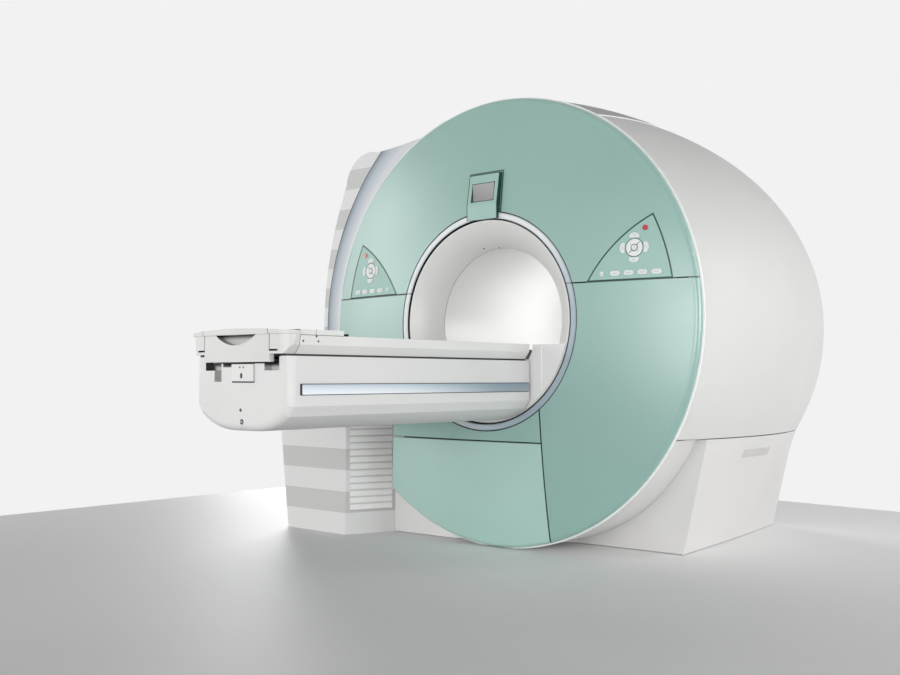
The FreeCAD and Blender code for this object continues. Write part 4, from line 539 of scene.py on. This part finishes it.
# The front frame shows only through the cover's joints, and is painted dark green as their shade.
frame_painted_shade = lacquer("frame_painted_shade", tone(34, 82, 70), tone(26, 72, 60), 0.6, 0.0001)
dress(frame_painted_shade, "front_frame")
place, vary = finish("cold_head_metal", Metallic=0.9)
dress(vary(Base_Color=place.noise(3, 2.0).between(tone(186, 186, 184), tone(206, 206, 204)),
           Roughness=place.noise(60, 3.0, (1, 1, 14)) * 0.2 + 0.28),
      "cold_head")

# ------------------------------------------------------------------ body covers
# Large white shells of sprayed glass-fibre resin over the vessel: the side cover, the top cover
# beyond the crease, painted darker as shade, and the domed rear cover.
body_white = lacquer("body_white", tone(208, 208, 207), tone(204, 204, 203), 0.5,
                     Specular_IOR_Level=0.35)
dress(body_white, "right_side_cover", "rear_cover")
# The top cover's grey is the body's white with painted shade.
top_grey_painted_shade = lacquer("top_grey_painted_shade", tone(156, 156, 155), tone(152, 152, 151), 0.5)
dress(top_grey_painted_shade, "top_cover")

# A white bead closes the joint 2 mm below the crease, at a fixed angle round the barrel. Its
# white, brighter than the covers', is a painted highlight. The barrel's side is an arc between two
# pairs of a place along its axis and a reach from it.
BARREL_FRONT, BARREL_REAR, BARREL_ARC = np.array([-0.716, 1.052]), np.array([0.76, 0.985]), 3.85
DISC_RADIUS, CREASE = 1.05, math.radians(59.5)


def swept(section, path, across, out):
    """A section carried along a path: each section pair is a step across and a step out. It
    shrinks to its middle at both ends."""
    section = np.array(section)
    middle = section.mean(0)
    sizes = np.concatenate([[0], np.ones(len(path)), [0]])
    rows = np.clip(np.arange(-1, len(path) + 1), 0, len(path) - 1)
    pairs = middle + sizes[:, None, None] * (section - middle)
    points = (path[rows][:, None] + pairs[..., :1] * across[rows][:, None]
              + pairs[..., 1:] * out[rows][:, None])
    index = np.arange(points[..., 0].size).reshape(points.shape[:2])
    right = np.roll(index, -1, 1)
    return (points.reshape(-1, 3),
            np.stack([index[:-1], right[:-1], right[1:], index[1:]], -1).reshape(-1, 4))


chord = BARREL_REAR - BARREL_FRONT
length = np.linalg.norm(chord)
normal = np.array([-chord[1], chord[0]]) / length
centre = ((BARREL_FRONT + BARREL_REAR) / 2
          - normal * math.sqrt(BARREL_ARC ** 2 - length ** 2 / 4))
along = np.linspace(-0.714, 0.757, 72)
barrel = centre[1] + np.sqrt(BARREL_ARC ** 2 - (along - centre[0]) ** 2)
turn = CREASE - 0.002 / DISC_RADIUS
out = np.tile([math.cos(turn), 0, math.sin(turn)], (len(along), 1))
path = out * barrel[:, None] + np.column_stack([0 * along, along, 0 * along + BORE_Z])
across = np.tile([-math.sin(turn), 0, math.cos(turn)], (len(along), 1))
HALF_ROUND = [(0.0034 * math.cos(step), 0.0026 * math.sin(step) + 0.0004)
              for step in np.linspace(-0.2, math.pi + 0.2, 9)]
# The beads' bright white is a painted highlight.
bead_painted_highlight = lacquer("bead_painted_highlight", tone(250, 250, 249), tone(244, 244, 243), 0.4)
crease_bead = mesh_object("crease_bead", *swept(HALF_ROUND, path, across, out), bead_painted_highlight)
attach(crease_bead, "gantry")

# A white edging follows the green cover's lip where the side band meets it: a painted highlight
# along that edge.
turn = np.radians(np.linspace(108, 185, 96))
out = np.column_stack([np.cos(turn), 0 * turn, np.sin(turn)])
path = (DISC_RADIUS + 0.0006) * out + np.array([0, -0.744, BORE_Z])
ROUND = [(0.0036 * math.cos(step), 0.0036 * math.sin(step))
         for step in np.linspace(0, 2 * math.pi, 12, endpoint=False)]
lip_bead = mesh_object("lip_bead", *swept(ROUND, path, np.tile([0, 1, 0], (len(path), 1)), out),
                       bead_painted_highlight)
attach(lip_bead, "gantry")

# ------------------------------------------------------------------ plinth
# The folded base cover stands on the floor round the feet, with a louvred vent let into
# its right side.
base_white = lacquer("base_white", tone(214, 213, 212), tone(209, 208, 207), 0.5)
dress(base_white, "base_cover")
vent_grey = lacquer("vent_grey", tone(216, 215, 213), tone(210, 209, 207), 0.5)
dress(vent_grey, "vent_grille")


def thin_sheet(front, back):
    """Two grids of points, one behind the other, whose four edges are joined by quads."""
    points = np.stack([front, back])
    index = np.arange(points[..., 0].size).reshape(points.shape[:3])
    edge = np.concatenate([index[:, 0, :-1], index[:, :-1, -1], index[:, -1, :0:-1],
                           index[:, :0:-1, 0]], axis=1)
    faces = [np.stack([grid[:-1, :-1], grid[:-1, 1:], grid[1:, 1:], grid[1:, :-1]], -1)
             for grid in index]
    faces.append(np.stack([edge[0], np.roll(edge[0], -1), np.roll(edge[1], -1), edge[1]], -1))
    return points.reshape(-1, 3), np.concatenate([face.reshape(-1, 4) for face in faces])


# A dust filter of pale felt lies behind the louvres: a grid over length and height on the
# cover's doubly bent wall, with a flat slope up and a parabola along.
place, vary = finish("filter_felt", Sheen_Weight=0.2)
felt = vary(Base_Color=place.noise(240, 4.0).between(tone(206, 205, 203), tone(224, 223, 221)),
            Roughness=place.noise(90, 2.0) * 0.1 + 0.8,
            Normal=place.noise(900, 3.0).bump(0.0004))
along, height = np.meshgrid(np.linspace(-0.213, 0.098, 24), np.linspace(0.4262, 0.4738, 6))
wall = 0.9805 + 0.49 * (height - 0.45) - 0.26 * (along + 0.08) ** 2
layers = [np.dstack([wall - depth, along, height]) for depth in (0.0095, 0.0115)]
vent_filter = mesh_object("vent_filter", *thin_sheet(*layers), felt)
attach(vent_filter, "gantry")

# ------------------------------------------------------------------ left housing
# The electronics housing beside the drum, painted in level bands of white and pale grey that
# run on round the lift column. A hollow blue-grey band closes the gap to the drum.


def banded(name):
    """White lacquer with level grey bands, 108 mm each, counted up from the floor."""
    place, vary = finish(name)
    wave = (place.axis("Z") / 0.216).maths("FRACT")
    grey = wave.rise(0.497, 0.503) - wave.rise(0.997, 1.0)
    cloud = place.noise(2.0, 3.0) * 0.5
    white = cloud.between(tone(216, 216, 215), tone(210, 210, 209))
    return vary(Base_Color=grey.between(white, tone(190, 190, 189)),
                Roughness=(place.noise(9, 3.0) - 0.5) * 0.12 + 0.5,
                Normal=place.noise(420, 2.0).bump(0.00006))


banded_white = banded("banded_white")
dress(banded_white, "left_housing", "lift_column")

# The blue-grey band has painted shade that darkens it from the green cover outwards, over this
# width, and a painted highlight at its inner edge.
BAND_WIDTH = 0.28
place, vary = finish("band_silver")
reach = place.far_from(0.0, BORE_Z) + (place.noise(1.3, 2.0) - 0.5) * 0.02
band_painted_shade = reach.node(
    "ShaderNodeValToRGB",
    {"stops": [(0.03, tone(246, 247, 248)), (0.1, tone(228, 229, 233)),
               (0.42, tone(222, 225, 230)), (0.8, tone(176, 188, 196)),
               (0.955, tone(132, 145, 153)), (0.975, tone(70, 78, 84))]},
    {0: (reach - DISC_RADIUS) / BAND_WIDTH})
flakes = place.noise(1400, 1.0)
dress(vary(Base_Color=((flakes - 0.5) * 0.3).between(band_painted_shade, tone(255, 255, 255)),
           Roughness=place.noise(16, 2.0) * 0.1 + 0.42,
           Normal=flakes.bump(0.00003)),
      "side_strip")

# ------------------------------------------------------------------ ribbed covers
# Two soft grey covers of coated cloth close the column's slot below and above the lift arm.
# Each is one sheet folded into level ribs, clamped at its ends.


def ribbed_cloth(name, low, high, ribs):
    """Coated cloth with a fine weave, with painted shade along the valleys between the ribs."""
    place, vary = finish(name, Sheen_Weight=0.15)
    fold = abs(((place.axis("Z") - low) * (math.pi * ribs / (high - low))).maths("SINE"))
    unshaded_cloth = place.noise(25, 3.0).between(tone(232, 231, 230), tone(240, 239, 238))
    weave = (place.axis("Z") * 5200).maths("SINE") * (place.axis("Y") * 5200).maths("SINE")
    return vary(Base_Color=fold.rise(0.0, 0.6).between(tone(200, 199, 198), unshaded_cloth),
                Roughness=place.noise(50, 2.0) * 0.15 + 0.62,
                Normal=weave.bump(0.00005))


def ribbed_cover(name, low, high, ribs):
    """A folded sheet as a grid: across it goes along the slanted face; up it, the front
    stands out by the root of the sine of each rib's phase, which gives round ribs with sharp
    valleys. The back follows 2.4 mm behind, and the two are joined round all four edges."""
    start, end = np.array([-0.8257, -0.8906]), np.array([-0.7363, -0.6724])
    width = np.linalg.norm(end - start)
    way = (end - start) / width
    out = np.array([way[1], -way[0]])
    across = np.linspace(0.000141, width - 0.0006, 9)
    phase = np.linspace(0, ribs, ribs * 12 + 1)
    swell = 0.0064 * np.abs(np.sin(np.pi * phase)) ** 0.62 - 0.0032
    height = low + (high - low) * phase / ribs
    layers = []
    for depth in (0.0, 0.0024):
        flat = start + across[None, :, None] * way + (swell - depth)[:, None, None] * out
        layers.append(np.dstack([flat, np.broadcast_to(height[:, None, None],
                                                       flat.shape[:2] + (1,))]))
    piece = mesh_object(name, *thin_sheet(*layers),
                        ribbed_cloth(name + "_cloth", low, high, ribs))
    piece.data.shade_smooth()
    return piece


lower_cover = ribbed_cover("lower_ribbed_cover", 0.1186, 0.5995, 14)
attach(lower_cover, "gantry")
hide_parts("lower_bellows")
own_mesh(lower_cover)
upper_cover = ribbed_cover("upper_ribbed_cover", 0.7205, 0.9035, 15)
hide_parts("upper_bellows")
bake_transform(upper_cover)

# ------------------------------------------------------------------ lift
# Inside the column the arm's carriage runs on two ground steel rails, pushed by a cylinder.
# The arm that comes out of the column's slot is lacquered white.
place, vary = finish("guide_steel", Metallic=0.95)
dress(vary(Base_Color=place.noise(3, 2.0).between(tone(176, 178, 180), tone(200, 202, 204)),
           Roughness=place.noise(80, 3.0, (1, 1, 0.05)) * 0.2 + 0.22),
      "guide_rails", "lift_cylinder")
dress(body_white, "lift_arm")

# ------------------------------------------------------------------ table hull and bridge
# The moulded hull carries the tabletop on two tracks, with a metallic strip along each side
# and docking recesses in its front. The bridge carries the same deck on through the bore.
# The tracks and lips that stand over DECK_TOP, a height ramped over 0.4 mm, are painted black as
# the shade in the gaps under the tabletop.
DECK_TOP = (0.8684, 0.8688)
HULL_FRONT, LOCK_FRONT = -2.2641, -2.2701


def hull_painted_shade(place):
    """Painted shade: black on the deck's two running tracks, darker inside the docking recesses.
    """
    along, up = place.axis("Y"), place.axis("Z")
    tracks = up.rise(*DECK_TOP)
    beside = abs(place.axis("X"))
    behind = along - HULL_FRONT
    inside = (behind.rise(0.0007, 0.001) * (1 - behind.rise(0.0349, 0.0352))
              * (1 - beside.rise(0.2066, 0.2070)) * up.rise(0.7735, 0.774))
    pin_slot = (place.axis("X") - 0.0125).near(0.066, 0.067)
    depth = up.rise(0.828, 0.842).most(beside.rise(0.18, 0.2), pin_slot) * 0.7 + 0.25
    return tracks.most(inside * depth)


table_white = lacquer("table_white", tone(211, 211, 210), tone(207, 207, 206), 0.5, 0.00008,
                      lines=hull_painted_shade, dark_tone=(24, 25, 26))
dress(table_white, "table_hull")


def bridge_painted_shade(place):
    """Painted shade: black on the lips along both sides of the bridge's channel."""
    beside = abs(place.axis("X"))
    return (beside.rise(0.2468, 0.2472) * (1 - beside.rise(0.2743, 0.2747))
            * place.axis("Z").rise(*DECK_TOP) * place.axis("Y").rise(-0.79, -0.78))


bridge_white = lacquer("bridge_white", tone(221, 221, 220), tone(217, 217, 216), 0.5, 0.00008,
                       lines=bridge_painted_shade, dark_tone=(24, 25, 26))
dress(bridge_white, "bore_bridge")

# The strips are drawn aluminium. Painted shade darkens them upwards and towards the gantry,
# and darkens a groove above and below them; their end is black.
place, vary = finish("strip_silver", Metallic=0.25)
along, up = place.axis("Y"), place.axis("Z")
strip_painted_shade = up.node(
    "ShaderNodeValToRGB",
    {"stops": [(0.0, tone(226, 230, 233)), (0.3, tone(214, 221, 226)), (0.75, tone(190, 201, 209)),
               (1.0, tone(164, 176, 186))]},
    {0: (up - 0.73) / 0.041})
gantry_painted_shade = ((along + (place.noise(3, 2.0) - 0.5) * 0.3).rise(-1.75, -1.0) * 0.75).between(
    strip_painted_shade, tone(120, 137, 150))
outline = 1 - (up - 0.7295).least(0.7715 - up, along + 2.2125).rise(0.0022, 0.0042)
dress(vary(Base_Color=outline.between(gantry_painted_shade, tone(30, 34, 38)),
           Roughness=place.noise(700, 2.0, (1, 0.02, 1)) * 0.12 + 0.34),
      "hull_side_strips")

# Plain sockets in the hull's front: a small one above a larger ringed one.
SOCKET = [(0, 0.03), (0.6, 0.03), (0.68, 0.12), (0.9, 0.12), (1, 0.03), (1, -0.3), (0, -0.3)]


def socket(centre, radius, widths=(1, 1)):
    """A dished plug with a thin collar, turned about the table's length."""
    return turned([(radius * a, radius * b) for a, b in SOCKET], centre, (0, -1, 0), 32, widths)


place, vary = finish("socket_black")
core = 1 - place.far_from(0.0045, 0.6332).rise(0.0034, 0.0044)
socket_black = vary(Base_Color=core.between(
                        place.noise(40, 2.0).between(tone(22, 23, 24), tone(36, 37, 39)),
                        tone(176, 177, 178)),
                    Roughness=place.noise(90, 2.0) * 0.2 + 0.35)
hull_sockets = mesh_object("hull_sockets",
                           *gathered(socket((-0.0027, HULL_FRONT, 0.6749), 0.0062),
                                     socket((0.0045, HULL_FRONT, 0.6332), 0.0098)), socket_black)
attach(hull_sockets, "table")

# The docking lock: a grey block with two guide pins and a key's oval.
lock_grey = lacquer("lock_grey", tone(214, 214, 213), tone(207, 207, 206), 0.45)
dress(lock_grey, "lock_block")
lock_sockets = mesh_object("lock_sockets",
                           *gathered(socket((-0.0016, LOCK_FRONT, 0.8296), 0.0034),
                                     socket((0.0180, LOCK_FRONT, 0.8296), 0.0034),
                                     socket((0.0072, LOCK_FRONT, 0.7993), 0.0085, (0.7, 1.25))),
                           socket_black)
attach(lock_sockets, "table")

# A white bead runs down the bridge's front in line with the cover's upright seam, as a painted
# highlight line.
rise = np.linspace(0.7385, 0.9325, 24)
line = np.column_stack([0 * rise + 0.3225, 0 * rise - 0.8378, rise])
bridge_bead = mesh_object("bridge_bead",
                          *swept([(0.55 * a, 0.4 * b) for a, b in HALF_ROUND], line,
                                 np.tile([1, 0, 0], (len(line), 1)),
                                 np.tile([0, -1, 0], (len(line), 1))),
                          bead_painted_highlight)
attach(bridge_bead, "gantry")

# ------------------------------------------------------------------ tabletop
# A stiff sandwich board of resin, dished along its length, with a rail block on each side and
# a moulded end cap with a hand grip. The values are the height of the joint under the blocks,
# and the places of their rear end, the split across them and the joint with the cap.
BLOCK_FOOT, BLOCK_END, BLOCK_SPLIT, CAP_JOINT = 0.9425, -2.0105, -2.147, -2.2232


def board_lines(place):
    """The joint under the rail blocks, the split across them and the joint with the cap."""
    along, up = place.axis("Y"), place.axis("Z")
    blocks = 1 - (along - BLOCK_END).rise(0.0, 0.001)
    under = (up - BLOCK_FOOT).near(0.0008, 0.002)
    split = (along - BLOCK_SPLIT).near(0.0008, 0.002) * up.rise(0.941, 0.9415)
    cap = 1 - (along - CAP_JOINT).rise(0.0, 0.001)
    return (under.most(split) * blocks * 0.75).most(cap * 0.8)


top_white = lacquer("top_white", tone(219, 219, 217), tone(214, 214, 212), 0.45, 0.00008,
                    lines=board_lines, dark_tone=(40, 41, 42))
dress(top_white, "tabletop")


def cap_seams_and_painted_shade(place):
    """The cap's upright seams, and painted shade in the slots and in the crescent grip."""
    beside, back, up = abs(place.axis("X")), place.axis("Y"), place.axis("Z")
    seams = (beside - 0.1812).near(0.0014, 0.0028) * up.rise(0.888, 0.889) * 0.6
    inside = (back + 2.2905).rise(0.0, 0.0008)
    slots = (inside * (up - 0.889).near(0.003, 0.0036) * beside.rise(0.18, 0.1805)
             * (1 - beside.rise(0.222, 0.2225)))
    grip = (inside * (1 - (back + 2.2642).rise(0.0, 0.0004)) * (1 - beside.rise(0.112, 0.1125))
            * up.rise(0.905, 0.9055) * (1 - up.rise(0.9462, 0.9466))
            * (up.rise(0.926, 0.946) * 0.75 + 0.25))
    return seams.most(slots, grip)


cap_white = lacquer("cap_white", tone(206, 206, 204), tone(201, 201, 199), 0.45, 0.00008,
                    lines=cap_seams_and_painted_shade, dark_tone=(30, 31, 32))
dress(cap_white, "end_cap")

# Two screws hold each rail block from the side, with a black rubber stop behind it.
board_screws = mesh_object(
    "board_screws",
    *gathered(*[screw((way * x, y, z), (way * 0.994, 0, -0.114), 0.0042)
                for way in (-1, 1)
                for x, y, z in ((0.2676, -2.2088, 0.921), (0.2676, -2.1365, 0.921),
                                (0.2698, -2.1475, 0.9385))]),
    screw_steel)
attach(board_screws, "tabletop")


def pillow(centre, halves):
    """A rounded block: a superellipsoid, whose sines and cosines of two angles are raised to a
    small power before they scale the three half sizes."""
    sharp, steps = 0.25, 32

    def bent(wave):
        return np.sign(wave) * np.abs(np.round(wave, 9)) ** sharp

    lift, turn = np.meshgrid(np.linspace(-np.pi / 2, np.pi / 2, steps),
                             np.linspace(0, 2 * np.pi, 2 * steps, endpoint=False), indexing="ij")
    shape = np.dstack([bent(np.cos(lift)) * bent(np.cos(turn)),
                       bent(np.cos(lift)) * bent(np.sin(turn)), bent(np.sin(lift))])
    return wrapped(np.array(centre) + shape * np.array(halves))


rail_stops = mesh_object(
    "rail_stops",
    *gathered(*[pillow((way * 0.2465, -1.9955, 0.9465), (0.0195, 0.0135, 0.0045))
                for way in (-1, 1)]), black_rubber_and_shadow)
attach(rail_stops, "tabletop")
